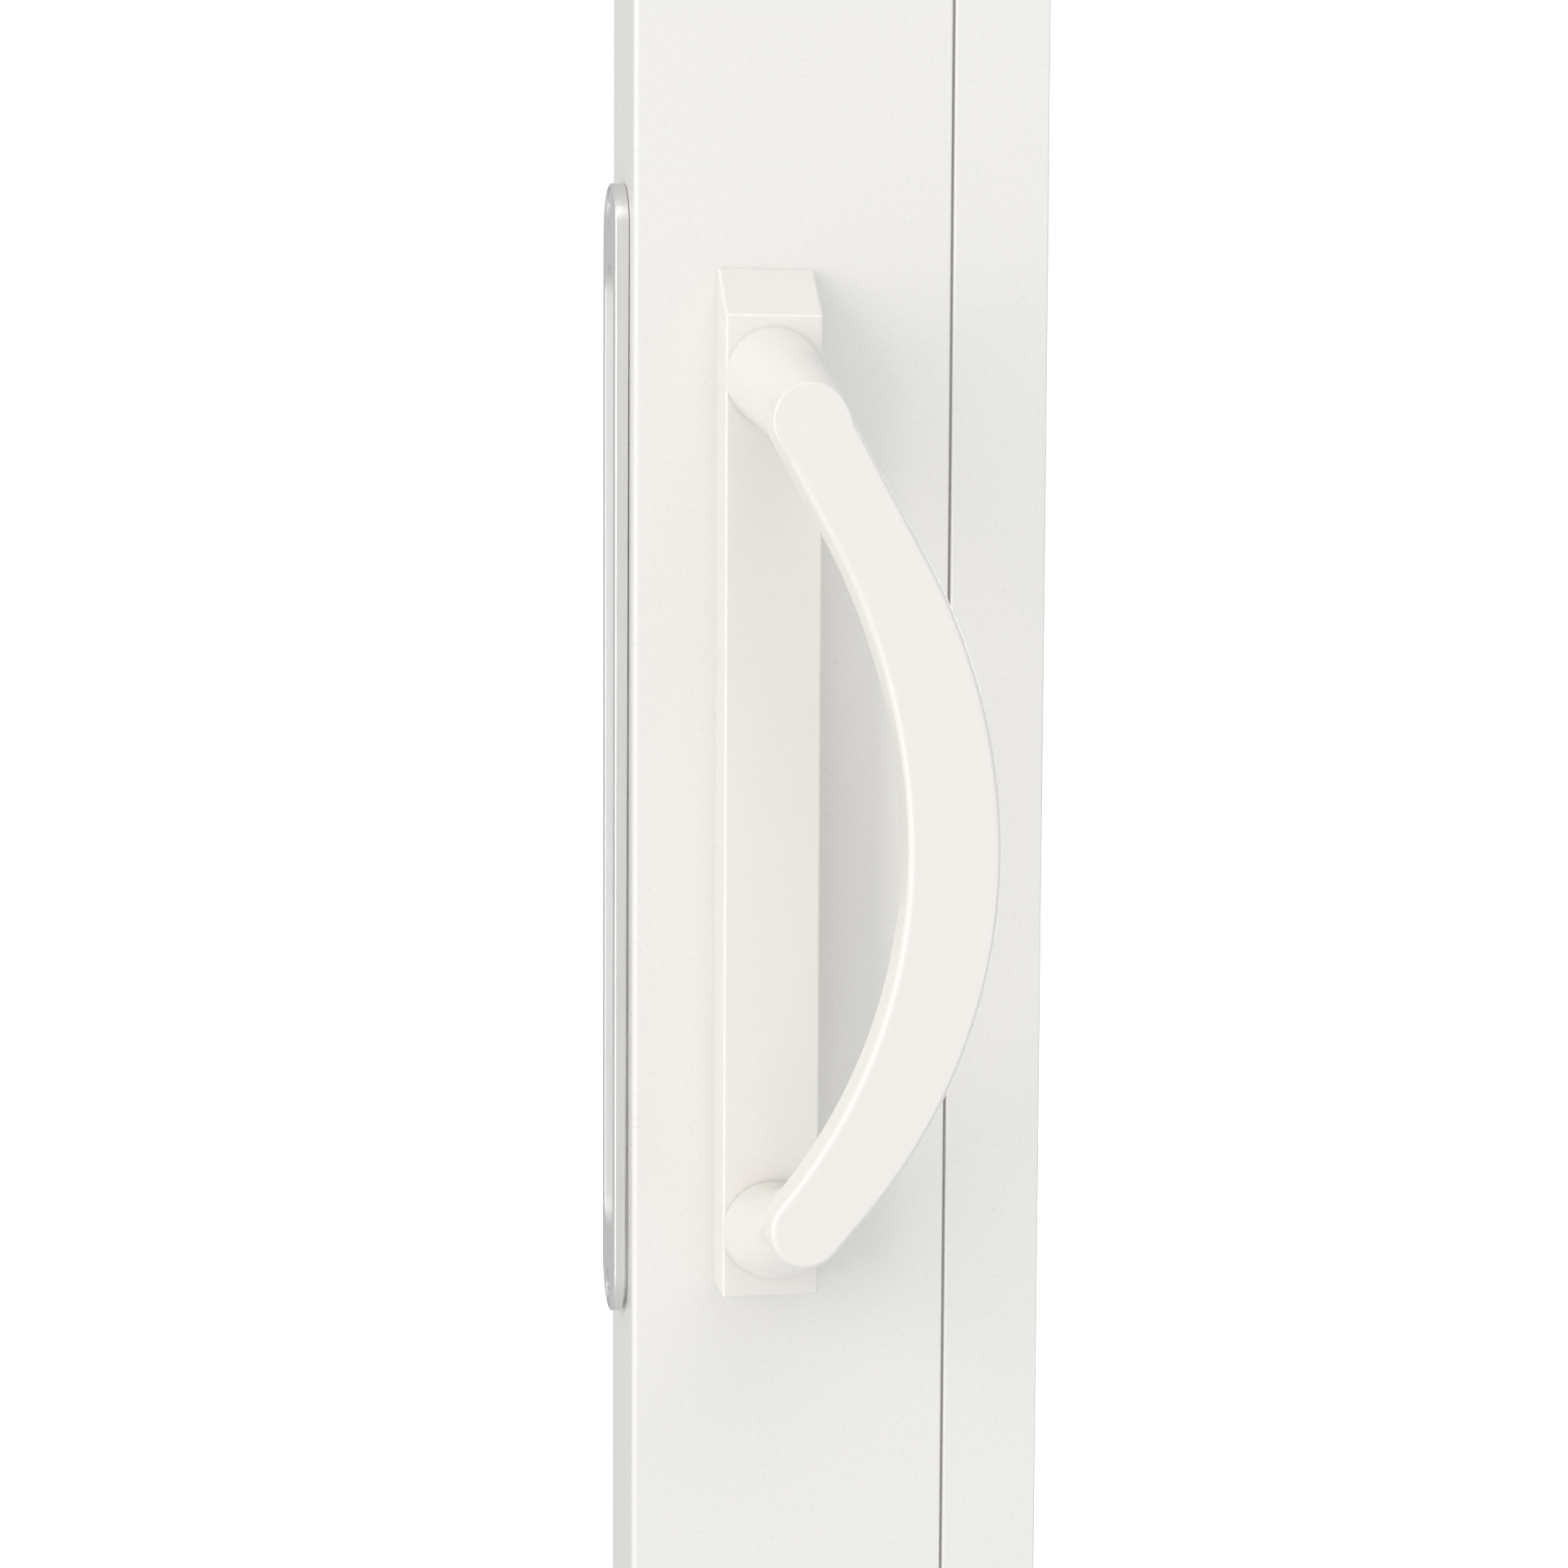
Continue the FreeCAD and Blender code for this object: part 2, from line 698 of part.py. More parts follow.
def roller(side, centre):
    cheek = S.housing_half_width
    reach = S.housing_half_length
    shell = box("housing_%s_outside" % side, (centre - reach, centre + reach), (-cheek, cheek),
                (S.housing_rim, S.channel_depth))
    hollow = box("housing_%s_inside" % side, (centre - reach - OVERCUT, centre + reach + OVERCUT),
                 (-cheek + S.housing_wall, cheek - S.housing_wall),
                 (S.housing_rim - OVERCUT, S.channel_depth - S.housing_roof))
    axle_end = 1
    axle = rod("axle_%s" % side, "Y", S.axle_radius, (centre, -cheek - axle_end, S.roller_height),
               (cheek + axle_end) * 2)
    screws = [item for item in roller_screws if side in item.Name]
    keep(side + "_roller_housing", cut("housing_%s_cut" % side, shell, hollow, axle, *screws))
    keep(side + "_roller_axle", axle)

    disc = rod("wheel_%s_disc" % side, "Y", S.wheel_radius,
               (centre, -S.wheel_width / 2, S.roller_height), S.wheel_width)
    bore = rod("wheel_%s_bore" % side, "Y", S.axle_radius + S.shaft_gap,
               (centre, -S.wheel_width, S.roller_height), S.wheel_width * 2)
    groove = doc.addObject("Part::Torus", "wheel_%s_groove" % side)
    bind(groove, "Radius1", S.wheel_radius + S.wheel_groove_offset)
    bind(groove, "Radius2", S.wheel_groove_radius)
    groove.Placement = FreeCAD.Placement(FreeCAD.Vector(), TURNS["Y"])
    place(groove, centre, 0, S.roller_height)
    keep(side + "_roller_wheel", cut("wheel_%s_cut" % side, disc, bore, groove))


for side, centre in roller_centres.items():
    roller(side, centre)

guide_reach = S.guide_half_length
guide_y = room_face + S.wall + S.guide_gap, outer_face - S.wall - S.guide_gap
guides = [box("guide_%d" % n, (centre - guide_reach, centre + guide_reach), guide_y,
              (S.sash_height - S.channel_depth, guide_top))
          for n, centre in enumerate(guide_centres)]
guide_slots = [box("guide_slot_%d" % n,
                   (centre - guide_reach - OVERCUT, centre + guide_reach + OVERCUT),
                   (-S.guide_slot_half, S.guide_slot_half),
                   (guide_top - S.guide_slot_depth, S.sash_height))
               for n, centre in enumerate(guide_centres)]
keep("top_guides", cut("top_guides_cut", group("guide_blocks", *guides), *guide_slots,
                       *guide_screws))

pile_z = S.pile_end_gap, S.sash_height - S.pile_end_gap
interlock_x = right_edge - S.flange_wall
keep("edge_pile_seal", box("pile_lock", (S.pile_left, S.pile_left + S.pile_width),
                           (outer_face, outer_face + S.pile_depth), pile_z))
keep("interlock_pile_seal", box("pile_interlock", (interlock_x - S.pile_depth, interlock_x),
                                (outer_face, outer_face + S.interlock_pile_depth), pile_z))


# ---------------------------------------------------------------- handle plate

plate_z = S.plate_centre - S.plate_length / 2, S.plate_centre + S.plate_length / 2
plate_half = S.plate_width / 2

foot_pad = rod("foot_pad_disc", "Y", S.foot_pad_radius, (S.grip_x, plate_front, S.foot_height),
               S.foot_pad_depth)
keep("foot_pad", foot_pad)


def handle_cover():
    """A cast shell with a long sloping bevel at its top end."""
    owner = body("handle_cover_shell")
    left, right = S.grip_x - plate_half, S.grip_x + plate_half
    section = sketch_on(owner, "XY_Plane", plate_z[0])
    outline(section, [(left, plate_front, S.cover_round), (right, plate_front, S.cover_round),
                      (right, room_face), (left, room_face)])
    pad(owner, section, S.plate_length)
    bevel = sketch_on(owner, "YZ_Plane", left - OVERCUT)
    above = plate_z[1] + OVERCUT
    outline(bevel, [(plate_front - OVERCUT, plate_z[1] - S.plate_bevel - OVERCUT),
                    (plate_front + S.plate_bevel + OVERCUT, above),
                    (plate_front - OVERCUT, above)])
    pocket(owner, bevel, S.plate_width + 2 * OVERCUT, backwards=True)
    hollow = sketch_on(owner, "XZ_Plane", -room_face)
    outline(hollow, rectangle((left + S.cover_wall, right - S.cover_wall),
                              (plate_z[0] + S.cover_wall, plate_z[1] - S.plate_bevel - 1)))
    pocket(owner, hollow, S.plate_depth - S.cover_wall, backwards=True)
    bush_hole = rod("cover_bush_hole", "Y", S.bush_radius,
                    (S.grip_x, plate_front - OVERCUT, S.pivot_height), S.plate_depth)
    return cut("handle_cover_cut", owner, bush_hole, foot_pad)


keep("handle_cover", handle_cover())

BASE_END_GAP = (3, 2)
CLIP_RECESS = {"depth": 2, "gap": 0.6}
SPRING_GAP = {"side": 0.5, "below": 1, "above": 1.5}
SPRING_LEAF = {"reach": 4, "thickness": 1}

base_blank = box("handle_base_blank", (S.grip_x - S.base_half_width, S.grip_x + S.base_half_width),
                 (base_plate_y, room_face),
                 (plate_z[0] + BASE_END_GAP[0], plate_z[1] - S.plate_bevel - BASE_END_GAP[1]))
recess_y = room_face - CLIP_RECESS["depth"]
bush_seat = rod("base_bush_seat", "Y", S.bush_radius,
                (S.grip_x, base_plate_y - OVERCUT, S.pivot_height), S.base_plate)
clip_recess = rod("base_clip_recess", "Y", S.bush_radius + CLIP_RECESS["gap"],
                  (S.grip_x, recess_y, S.pivot_height), CLIP_RECESS["depth"] + OVERCUT)
spring_low = S.pivot_height - S.spring_drop
spring_high = spring_low + SPRING_LEAF["thickness"]
slot_half = S.spring_half_width + SPRING_GAP["side"]
spring_slot = box("base_spring_slot", (S.grip_x - slot_half, S.grip_x + slot_half),
                  (base_plate_y - OVERCUT, recess_y),
                  (spring_low - SPRING_GAP["below"], spring_high + SPRING_GAP["above"]))
keep("handle_base", cut("handle_base_cut", base_blank, bush_seat, clip_recess, spring_slot,
                        *base_screws))
keep("detent_spring", box("detent_spring_leaf",
                          (S.grip_x - S.spring_half_width, S.grip_x + S.spring_half_width),
                          (base_plate_y - SPRING_LEAF["reach"], recess_y),
                          (spring_low, spring_high)))

bush_body = rod("lever_bush_body", "Y", S.bush_radius, (S.grip_x, plate_front, S.pivot_height),
                S.plate_depth - CLIP_RECESS["depth"])
bush_bore = rod("lever_bush_bore", "Y", S.stem_radius + S.shaft_gap,
                (S.grip_x, plate_front - OVERCUT, S.pivot_height), S.plate_depth + 2 * OVERCUT)
keep("lever_bush", cut("lever_bush_cut", bush_body, bush_bore))

nuts = [rod("rivet_nut_%d" % n, "Y", S.nut_radius, (S.grip_x, room_face, height), S.nut_length)
        for n, height in enumerate(base_screw_heights)]
keep("rivet_nuts", cut("rivet_nuts_cut", group("rivet_nut_blanks", *nuts), *base_screws))


# ---------------------------------------------------------------- bowed lever

def bow_outline():
    """Points and arc radii of the bow seen from the room.

    Each side is a vertical tangent at the bow's widest place, an arc up and an arc down from
    there, then a straight tangent to the round end.
    """
    x_axis = S.grip_x.value
    end_radius = S.bar_end_radius.value
    ends = {
        1: ((x_axis, S.pivot_height.value - S.bar_inset.value), math.radians(S.lean_top.value)),
        -1: ((x_axis, S.foot_height.value + S.foot_inset.value), math.radians(S.lean_bottom.value)),
    }
    sides = {}
    for way, (end, lean) in ends.items():
        rise = abs(end[1] - S.bow_height.value)
        for side, reach in ((-1, S.bow_inner.value), (1, S.bow_outer.value)):
            middle_x = x_axis + reach
            numerator = rise * math.sin(lean) + (end[0] - middle_x) * math.cos(lean)
            numerator += side * end_radius
            radius = numerator / (1 - math.cos(lean))
            centre_x = middle_x - radius
            normal = (math.cos(lean), way * math.sin(lean))
            mid_angle = lean / 2
            sides[(way, side)] = {
                "middle": (middle_x, S.bow_height.value),
                "through": (centre_x + radius * math.cos(mid_angle),
                            S.bow_height.value + way * radius * math.sin(mid_angle)),
                "leaves": (centre_x + radius * normal[0],
                           S.bow_height.value + radius * normal[1]),
                "meets": (end[0] + side * end_radius * normal[0],
                          end[1] + side * end_radius * normal[1]),
            }
    return ends, sides


def vector(point, y):
    return FreeCAD.Vector(point[0], y, point[1])


def bow_shape():
    ends, sides = bow_outline()
    front = bar_front.value

    def arc(first, through, last):
        return Part.Arc(vector(first, front), vector(through, front), vector(last, front)).toShape()

    def line(first, last):
        return Part.LineSegment(vector(first, front), vector(last, front)).toShape()

    def end_cap(way):
        centre, lean = ends[way]
        radius = S.bar_end_radius.value
        tip = (centre[0] - radius * math.sin(lean), centre[1] + way * radius * math.cos(lean))
        return arc(sides[(way, -1)]["meets"], tip, sides[(way, 1)]["meets"])

    edges = []
    for side in (1, -1):
        up, down = sides[(1, side)], sides[(-1, side)]
        edges += [line(up["meets"], up["leaves"]), arc(up["leaves"], up["through"], up["middle"]),
                  arc(up["middle"], down["through"], down["leaves"]),
                  line(down["leaves"], down["meets"])]
    edges += [end_cap(1), end_cap(-1)]
    wire = Part.Wire(Part.__sortEdges__(edges))
    bar = Part.Face(wire).extrude(FreeCAD.Vector(0, S.bar_thickness.value, 0))
    rims = [edge for edge in bar.Edges if edge.BoundBox.YLength < 1e-6]
    return bar.makeFillet(S.bar_round.value, rims)


def oval_wire(centre, y, along, half_length, half_width):
    """An oval in a plane parallel to the sash, its long axis turned by an angle from +X."""
    origin = vector(centre, y)
    major = FreeCAD.Vector(math.cos(along), 0, math.sin(along))
    minor = FreeCAD.Vector(-math.sin(along), 0, math.cos(along))
    oval = Part.Ellipse(origin + major * half_length, origin + minor * half_width, origin)
    return Part.Wire(oval.toShape())


NECK_BITE = 1.2
NECK_INSET = 0.4
NECK_SPREAD = 7
NECK_LEVELS = 6
OVAL_EXCESS = 0.02


def neck_shape(way, base_height):
    """The post: round on the plate, leaning inwards and spreading along the bar."""
    end, lean = bow_outline()[0][way]
    along = (lean - math.pi / 2) * way
    base, tip = lever_base.value, bar_back.value - NECK_BITE
    post = S.post_radius.value
    end_radius = S.bar_end_radius.value - NECK_INSET
    wires = []
    for level in range(NECK_LEVELS):
        share = level / (NECK_LEVELS - 1)
        eased = share * share * (3 - 2 * share)
        spread = NECK_SPREAD * share ** 3
        centre = (S.grip_x.value + spread * math.cos(along),
                  base_height + (end[1] - base_height) * eased + spread * math.sin(along))
        half_width = post + (end_radius - post) * eased
        half_length = half_width + spread + OVAL_EXCESS
        y = base + (tip - base) * share
        wires.append(oval_wire(centre, y, along, half_length, half_width))
    return Part.makeLoft(wires, True, False)


STEM_SHORTER = 1
CLIP_WIDER = 1.5
CLIP_MOUTH = {"half_width": 3, "low": 12, "high": 4}
SPINDLE_ENDS = (8, 3)

stem = rod("lever_stem", "Y", S.stem_radius, (S.grip_x, lever_base, S.pivot_height),
           S.plate_depth - STEM_SHORTER)
groove_y = room_face - S.clip_setback
groove_radius = S.stem_radius - S.clip_groove
stem_groove_outer = rod("stem_groove_outer", "Y", S.stem_radius + OVERCUT,
                        (S.grip_x, groove_y, S.pivot_height), S.clip_groove)
stem_groove_inner = rod("stem_groove_inner", "Y", groove_radius,
                        (S.grip_x, groove_y - OVERCUT, S.pivot_height), S.clip_groove + 2 * OVERCUT)
stem_groove = cut("stem_groove", stem_groove_outer, stem_groove_inner)

half_side = S.spindle_side / 2
spindle = box("spindle_bar", (S.grip_x - half_side, S.grip_x + half_side),
              (lever_base - SPINDLE_ENDS[0], S.case_width / 2 + SPINDLE_ENDS[1]),
              (S.pivot_height - half_side, S.pivot_height + half_side))
keep("lever_spindle", spindle)

lever_bow = doc.addObject("Part::Feature", "lever_bow")
lever_bow.Shape = bow_shape()
top_neck = doc.addObject("Part::Feature", "lever_top_neck")
top_neck.Shape = neck_shape(1, S.pivot_height.value)
foot_neck = doc.addObject("Part::Feature", "lever_foot_neck")
foot_neck.Shape = neck_shape(-1, S.foot_height.value)
lever_blank = fuse("lever_blank", lever_bow, top_neck, foot_neck, stem)
keep("handle_lever", cut("handle_lever_cut", lever_blank, spindle, stem_groove))

clip_outer = rod("clip_outer", "Y", S.stem_radius + CLIP_WIDER,
                 (S.grip_x, groove_y, S.pivot_height), S.clip_groove)
clip_inner = rod("clip_inner", "Y", groove_radius, (S.grip_x, groove_y - OVERCUT, S.pivot_height),
                 S.clip_groove + 2 * OVERCUT)
clip_gap = box("clip_gap",
               (S.grip_x - CLIP_MOUTH["half_width"], S.grip_x + CLIP_MOUTH["half_width"]),
               (groove_y - OVERCUT, room_face),
               (S.pivot_height - CLIP_MOUTH["low"], S.pivot_height - CLIP_MOUTH["high"]))
keep("lever_circlip", cut("lever_circlip_cut", clip_outer, clip_inner, clip_gap))


# ---------------------------------------------------------------- dished edge plate

DISH_TAPER = -14


def edge_plate():
    """A round-ended plate with a long pressed dish."""
    owner = body("edge_plate_blank")

    def span(length):
        return S.edge_centre - length / 2, S.edge_centre + length / 2

    face = sketch_on(owner, "YZ_Plane", edge_outer)
    stadium(face, S.edge_width / 2, span(S.edge_length))
    pad(owner, face, S.edge_thickness)
    back = sketch_on(owner, "YZ_Plane", 0)
    stadium(back, S.dish_width / 2 + S.dish_wall, span(S.dish_length))
    pad(owner, back, S.dish_floor + S.dish_wall)
    hollow = sketch_on(owner, "YZ_Plane", edge_outer)
    stadium(hollow, S.dish_width / 2, span(S.dish_length - 2 * S.dish_wall))
    dish = pocket(owner, hollow, S.edge_thickness + S.dish_floor, backwards=True)
    dish.TaperAngle = DISH_TAPER
    doc.recompute()
    outer_rims = [
        "Edge%d" % number for number, edge in enumerate(owner.Shape.Edges, start=1)
        if edge.BoundBox.XLength < 1e-6 and abs(edge.BoundBox.XMin - edge_outer.value) < 1e-6]
    rounding = owner.newObject("PartDesign::Fillet", "edge_plate_round")
    rounding.Base = (dish, outer_rims)
    bind(rounding, "Radius", S.edge_plate_round)
    owner.Tip = rounding
    doc.recompute()
    return owner


def edge_screw(number, height):
    name = "edge_screw_%d" % number
    start = (edge_outer + S.edge_screw_recess, 0, height)
    sink = cone(name + "_sink", "X", S.edge_screw_head, S.edge_screw_radius, start,
                S.edge_screw_sink)
    shank = rod(name + "_shank", "X", S.edge_screw_radius, start, S.edge_screw_length)
    reach, half = S.cross_reach, S.cross_half_width
    cross_x = edge_outer - OVERCUT, edge_outer + S.cross_depth
    cross = [
        box(name + "_slot_a", cross_x, (-reach, reach), (height - half, height + half)),
        box(name + "_slot_b", cross_x, (-half, half), (height - reach, height + reach)),
    ]
    blank = fuse(name + "_blank", sink, shank)
    return blank, cut(name, blank, *cross)


edge_screw_parts = [edge_screw(n, height) for n, height in enumerate(edge_screw_heights)]
edge_screw_blanks = [blank for blank, finished in edge_screw_parts]
edge_screws = [finished for blank, finished in edge_screw_parts]
keep("edge_plate_screws", group("edge_screw_group", *edge_screws))

hook_heights = {"upper": S.upper_hook_height, "lower": S.lower_hook_height}
hook_x = S.rack_pitch_left - S.gear_module * S.gear_teeth / 2
HOOK_SLOT_SIDE = 0.6
HOOK_SLOT_DROP = 2
slot_half_width = S.hook_thickness / 2 + HOOK_SLOT_SIDE
hook_slots = [
    box(name + "_hook_slot", (0, S.dish_floor + S.dish_wall + OVERCUT),
        (-slot_half_width, slot_half_width),
        (height - S.hook_reach - HOOK_SLOT_DROP, height + S.hook_slot_rise))
    for name, height in hook_heights.items()
]
keep("edge_plate", cut("edge_plate_cut", edge_plate(), *hook_slots, *edge_screw_blanks))

nut_plates = [box("edge_nut_%d" % n, (S.wall, S.wall + S.nut_plate_thickness),
                  (-S.nut_plate_half_width, S.nut_plate_half_width),
                  (height - S.nut_plate_half_height, height + S.nut_plate_half_height))
              for n, height in enumerate(edge_screw_heights)]
keep("edge_nut_plates", cut("edge_nut_plates_cut", group("edge_nut_blanks", *nut_plates),
                            *edge_screw_blanks))


# ---------------------------------------------------------------- lock

module = S.gear_module.value
teeth = int(S.gear_teeth.value)
PRESSURE_ANGLE = math.radians(20)
BACKLASH = 0.14
TOOTH_DEPTH = 1.25
TOOTH_TIP = 0.95
TOOTH_FOOT = 0.6


def involute(angle):
    return math.tan(angle) - angle


def tooth_half_angle(radius):
    """Half of a tooth's angle at a radius, on an involute flank."""
    pitch_radius = module * teeth / 2
    base_radius = pitch_radius * math.cos(PRESSURE_ANGLE)
    half_at_pitch = (math.pi * module / 2 - BACKLASH) / 2 / pitch_radius
    at_base = half_at_pitch + involute(PRESSURE_ANGLE)
    if radius <= base_radius:
        return at_base
    return at_base - involute(math.acos(base_radius / radius))


def gear_teeth(first_angle, count, thickness):
    """Teeth round the Y axis, the first at an angle from +X towards +Z (degrees)."""
    pitch_radius = module * teeth / 2
    root = pitch_radius - TOOTH_DEPTH * module
    tip = pitch_radius + TOOTH_TIP * module
    base_radius = pitch_radius * math.cos(PRESSURE_ANGLE)
    radii = [root - TOOTH_FOOT, base_radius]
    radii += [base_radius + (tip - base_radius) * share for share in (0.25, 0.5, 0.75, 1.0)]
    solids = []
    for number in range(count):
        middle = math.radians(first_angle + number * 360 / teeth)
        flank = [(radius, tooth_half_angle(radius)) for radius in radii]
        points = [(r, middle + half) for r, half in flank]
        points += [(r, middle - half) for r, half in reversed(flank)]
        corners = [FreeCAD.Vector(r * math.cos(a), -thickness / 2, r * math.sin(a))
                   for r, a in points]
        face = Part.Face(Part.makePolygon(corners + corners[:1]))
        solids.append(face.extrude(FreeCAD.Vector(0, thickness, 0)))
    return solids


def turned(radius, low, high):
    """A cylinder about the Y axis from y = low to y = high."""
    return Part.makeCylinder(radius, high - low, FreeCAD.Vector(0, low, 0), FreeCAD.Vector(0, 1, 0))


ROOT_RADIUS = module * teeth / 2 - TOOTH_DEPTH * module
GEAR_THICKNESS = 5
HUB_END_GAP = 0.1
case_half = S.case_width / 2
wall_inner = case_half - S.case_wall


def pinion_shape():
    disc = turned(ROOT_RADIUS, -GEAR_THICKNESS / 2, GEAR_THICKNESS / 2)
    disc = disc.multiFuse(gear_teeth(0, teeth, GEAR_THICKNESS))
    hub_half = case_half.value - HUB_END_GAP
    hub = turned(S.hub_radius.value, -hub_half, hub_half)
    side = S.spindle_side.value
    length = S.case_width.value * 2
    hole = Part.makeBox(side, length, side, FreeCAD.Vector(-side / 2, -length / 2, -side / 2))
    return disc.fuse(hub).cut(hole).removeSplitter()


HOOK_TEETH = 7
FIRST_HOOK_TOOTH = -22.5
HOOK_BACK = 4
HOOK_FRONT = -4.5
HOOK_THROAT = -1.5
CLAW_TIP = -6.5
CLAW_HEIGHT = 5.5
HOOK_SHOULDER = -5
CLAW_ROUND = 1.5


def hook_shape():
    """A hook that hangs down from its toothed hub, its claw turned to the closing edge."""
    half = S.hook_thickness.value / 2
    reach = S.hook_reach.value
    hub = turned(ROOT_RADIUS, -half, half)
    hub = hub.multiFuse(gear_teeth(FIRST_HOOK_TOOTH, HOOK_TEETH, S.hook_thickness.value))
    claw_top = CLAW_HEIGHT - reach
    corners = [(HOOK_BACK, 0), (HOOK_BACK, -reach), (CLAW_TIP, -reach), (CLAW_TIP, claw_top),
               (HOOK_THROAT, claw_top), (HOOK_FRONT, HOOK_SHOULDER), (HOOK_FRONT, 0)]
    points = [FreeCAD.Vector(x, -half, z) for x, z in corners]
    arm = Part.Face(Part.makePolygon(points + points[:1])).extrude(FreeCAD.Vector(0, half * 2, 0))
    corners_to_round = [edge for edge in arm.Edges if edge.BoundBox.YLength > half
                        and edge.BoundBox.ZMax < -reach + 0.1]
    arm = arm.makeFillet(CLAW_ROUND, corners_to_round)
    bore = turned(S.pin_radius.value + S.shaft_gap.value, -half - OVERCUT, half + OVERCUT)
    return hub.fuse(arm).cut(bore).removeSplitter()


pinion = doc.addObject("Part::Feature", "pinion_gear")
pinion.Shape = pinion_shape()
place(pinion, S.grip_x, 0, S.pivot_height)
keep("drive_pinion", pinion)

pins = []
for name, height in hook_heights.items():
    hook = doc.addObject("Part::Feature", name + "_hook_plate")
    hook.Shape = hook_shape()
    place(hook, hook_x, 0, height)
    keep(name + "_hook", hook)
    pins.append(rod(name + "_hook_pin", "Y", S.pin_radius, (hook_x, -case_half, height),
                    S.case_width))
keep("hook_pins", group("hook_pin_group", *pins))


RACK_TEETH = 8
TEETH_BELOW = 1.5
ROOT_OVERLAP = 0.05


def rack():
    """A flat bar with teeth on its left for both hooks and on its right for the pinion."""
    owner = body("rack_bar")
    right_pitch = S.grip_x - S.gear_module * S.gear_teeth / 2
    core = S.rack_pitch_left + TOOTH_DEPTH * module, right_pitch - TOOTH_DEPTH * module
    bar_sketch = sketch_on(owner, "XZ_Plane", -GEAR_THICKNESS / 2)
    outline(bar_sketch, rectangle(core, (S.lower_hook_height - S.rack_end_below,
                                         S.pivot_height + S.rack_end_above)))
    pad(owner, bar_sketch, GEAR_THICKNESS)
    pitch = math.pi * module
    half_at_pitch = (pitch / 2 - BACKLASH) / 2
    slope = math.tan(PRESSURE_ANGLE)
    tip_half = half_at_pitch - TOOTH_TIP * module * slope
    root_half = half_at_pitch + TOOTH_DEPTH * module * slope
    rows = [(S.rack_pitch_left, -1, height) for height in hook_heights.values()]
    rows.append((right_pitch, 1, S.pivot_height))
    for pitch_x, way, height in rows:
        lowest = height - TEETH_BELOW * pitch
        tip_x = pitch_x + way * TOOTH_TIP * module
        root_x = pitch_x - way * (TOOTH_DEPTH + ROOT_OVERLAP) * module
        tooth_sketch = sketch_on(owner, "XZ_Plane", -GEAR_THICKNESS / 2)
        outline(tooth_sketch, [(root_x, lowest - root_half), (tip_x, lowest - tip_half),
                               (tip_x, lowest + tip_half), (root_x, lowest + root_half)])
        tooth = pad(owner, tooth_sketch, GEAR_THICKNESS)
        row_of_teeth = owner.newObject("PartDesign::LinearPattern", "rack_teeth")
        row_of_teeth.Originals = [tooth]
        row_of_teeth.Direction = (tooth_sketch, ["V_Axis"])
        row_of_teeth.Length = (RACK_TEETH - 1) * pitch
        row_of_teeth.Occurrences = RACK_TEETH
        owner.Tip = row_of_teeth
        doc.recompute()
    return owner


keep("drive_rack", rack())

CASE_END_GAP = 1
case_reach = S.dish_length / 2 - CASE_END_GAP
case_z = S.edge_centre - case_reach, S.edge_centre + case_reach
case_left = S.dish_floor + S.dish_wall
case_outside = box("case_outside", (case_left, S.case_right), (-wall_inner, case_half), case_z)
case_inside = box("case_inside", (case_left - OVERCUT, S.case_right - S.case_wall),
                  (-wall_inner - OVERCUT, wall_inner),
                  (case_z[0] + S.case_wall, case_z[1] - S.case_wall))
case_shell = cut("case_shell", case_outside, case_inside)
post_z = case_z[0] + S.case_post_inset, case_z[1] - S.case_post_inset
post_x = S.case_right - S.case_post_inset, case_left + S.case_post_radius * 2
post_places = [(x, z) for x in post_x for z in post_z]
posts = [rod("case_post_%d" % n, "Y", S.case_post_radius, (x, -wall_inner, z), wall_inner * 2)
         for n, (x, z) in enumerate(post_places)]
case_blank = fuse("case_blank", case_shell, *posts)
case_head_y = -case_half - CASE_SCREW["head_height"]
case_screws = [screw("case_screw_%d" % n, "Y", (x, case_head_y, z), CASE_SCREW)
               for n, (x, z) in enumerate(post_places)]
keep("case_screws", group("case_screw_group", *case_screws))
hub_bore = rod("case_hub_bore", "Y", S.hub_radius + S.shaft_gap,
               (S.grip_x, -case_half - OVERCUT, S.pivot_height), S.case_width + 2 * OVERCUT)
keep("lock_case", cut("lock_case_cut", case_blank, hub_bore, *pins, *case_screws))
cover_blank = box("case_cover_blank", (case_left, S.case_right), (-case_half, -wall_inner), case_z)
keep("lock_cover", cut("lock_cover_cut", cover_blank, hub_bore, *pins, *case_screws))

GUIDE_WALLS = (3.5, 6)
guide_levels = {"upper": S.upper_hook_height - 50, "lower": S.lower_hook_height + 45}
rack_right = S.grip_x - S.gear_module * S.gear_teeth / 2 - TOOTH_DEPTH * module
rack_left = S.rack_pitch_left + TOOTH_DEPTH * module
channel_half = GEAR_THICKNESS / 2 + S.rack_guide_gap
channel_reach = S.rack_guide_half + OVERCUT
rack_guides = []
for name, level in guide_levels.items():
    block = box(name + "_rack_guide_block",
                (rack_left - GUIDE_WALLS[0], rack_right + GUIDE_WALLS[1]),
                (-wall_inner, wall_inner), (level - S.rack_guide_half, level + S.rack_guide_half))
    channel = box(name + "_rack_guide_channel",
                  (rack_left - S.rack_guide_gap, rack_right + S.rack_guide_gap),
                  (-channel_half, channel_half), (level - channel_reach, level + channel_reach))
    rack_guides.append(cut(name + "_rack_guide", block, channel))
keep("rack_guides", group("rack_guide_group", *rack_guides))


# ---------------------------------------------------------------- checks and export

doc.recompute()
for item in doc.Objects:
    if "Invalid" in item.State or "Error" in item.State:
        raise RuntimeError("%s failed: %s" % (item.Name, item.State))
for node, item in NODES.items():
    if item.Shape.isNull() or not item.Shape.isValid():
        raise RuntimeError(node + " has no valid shape")

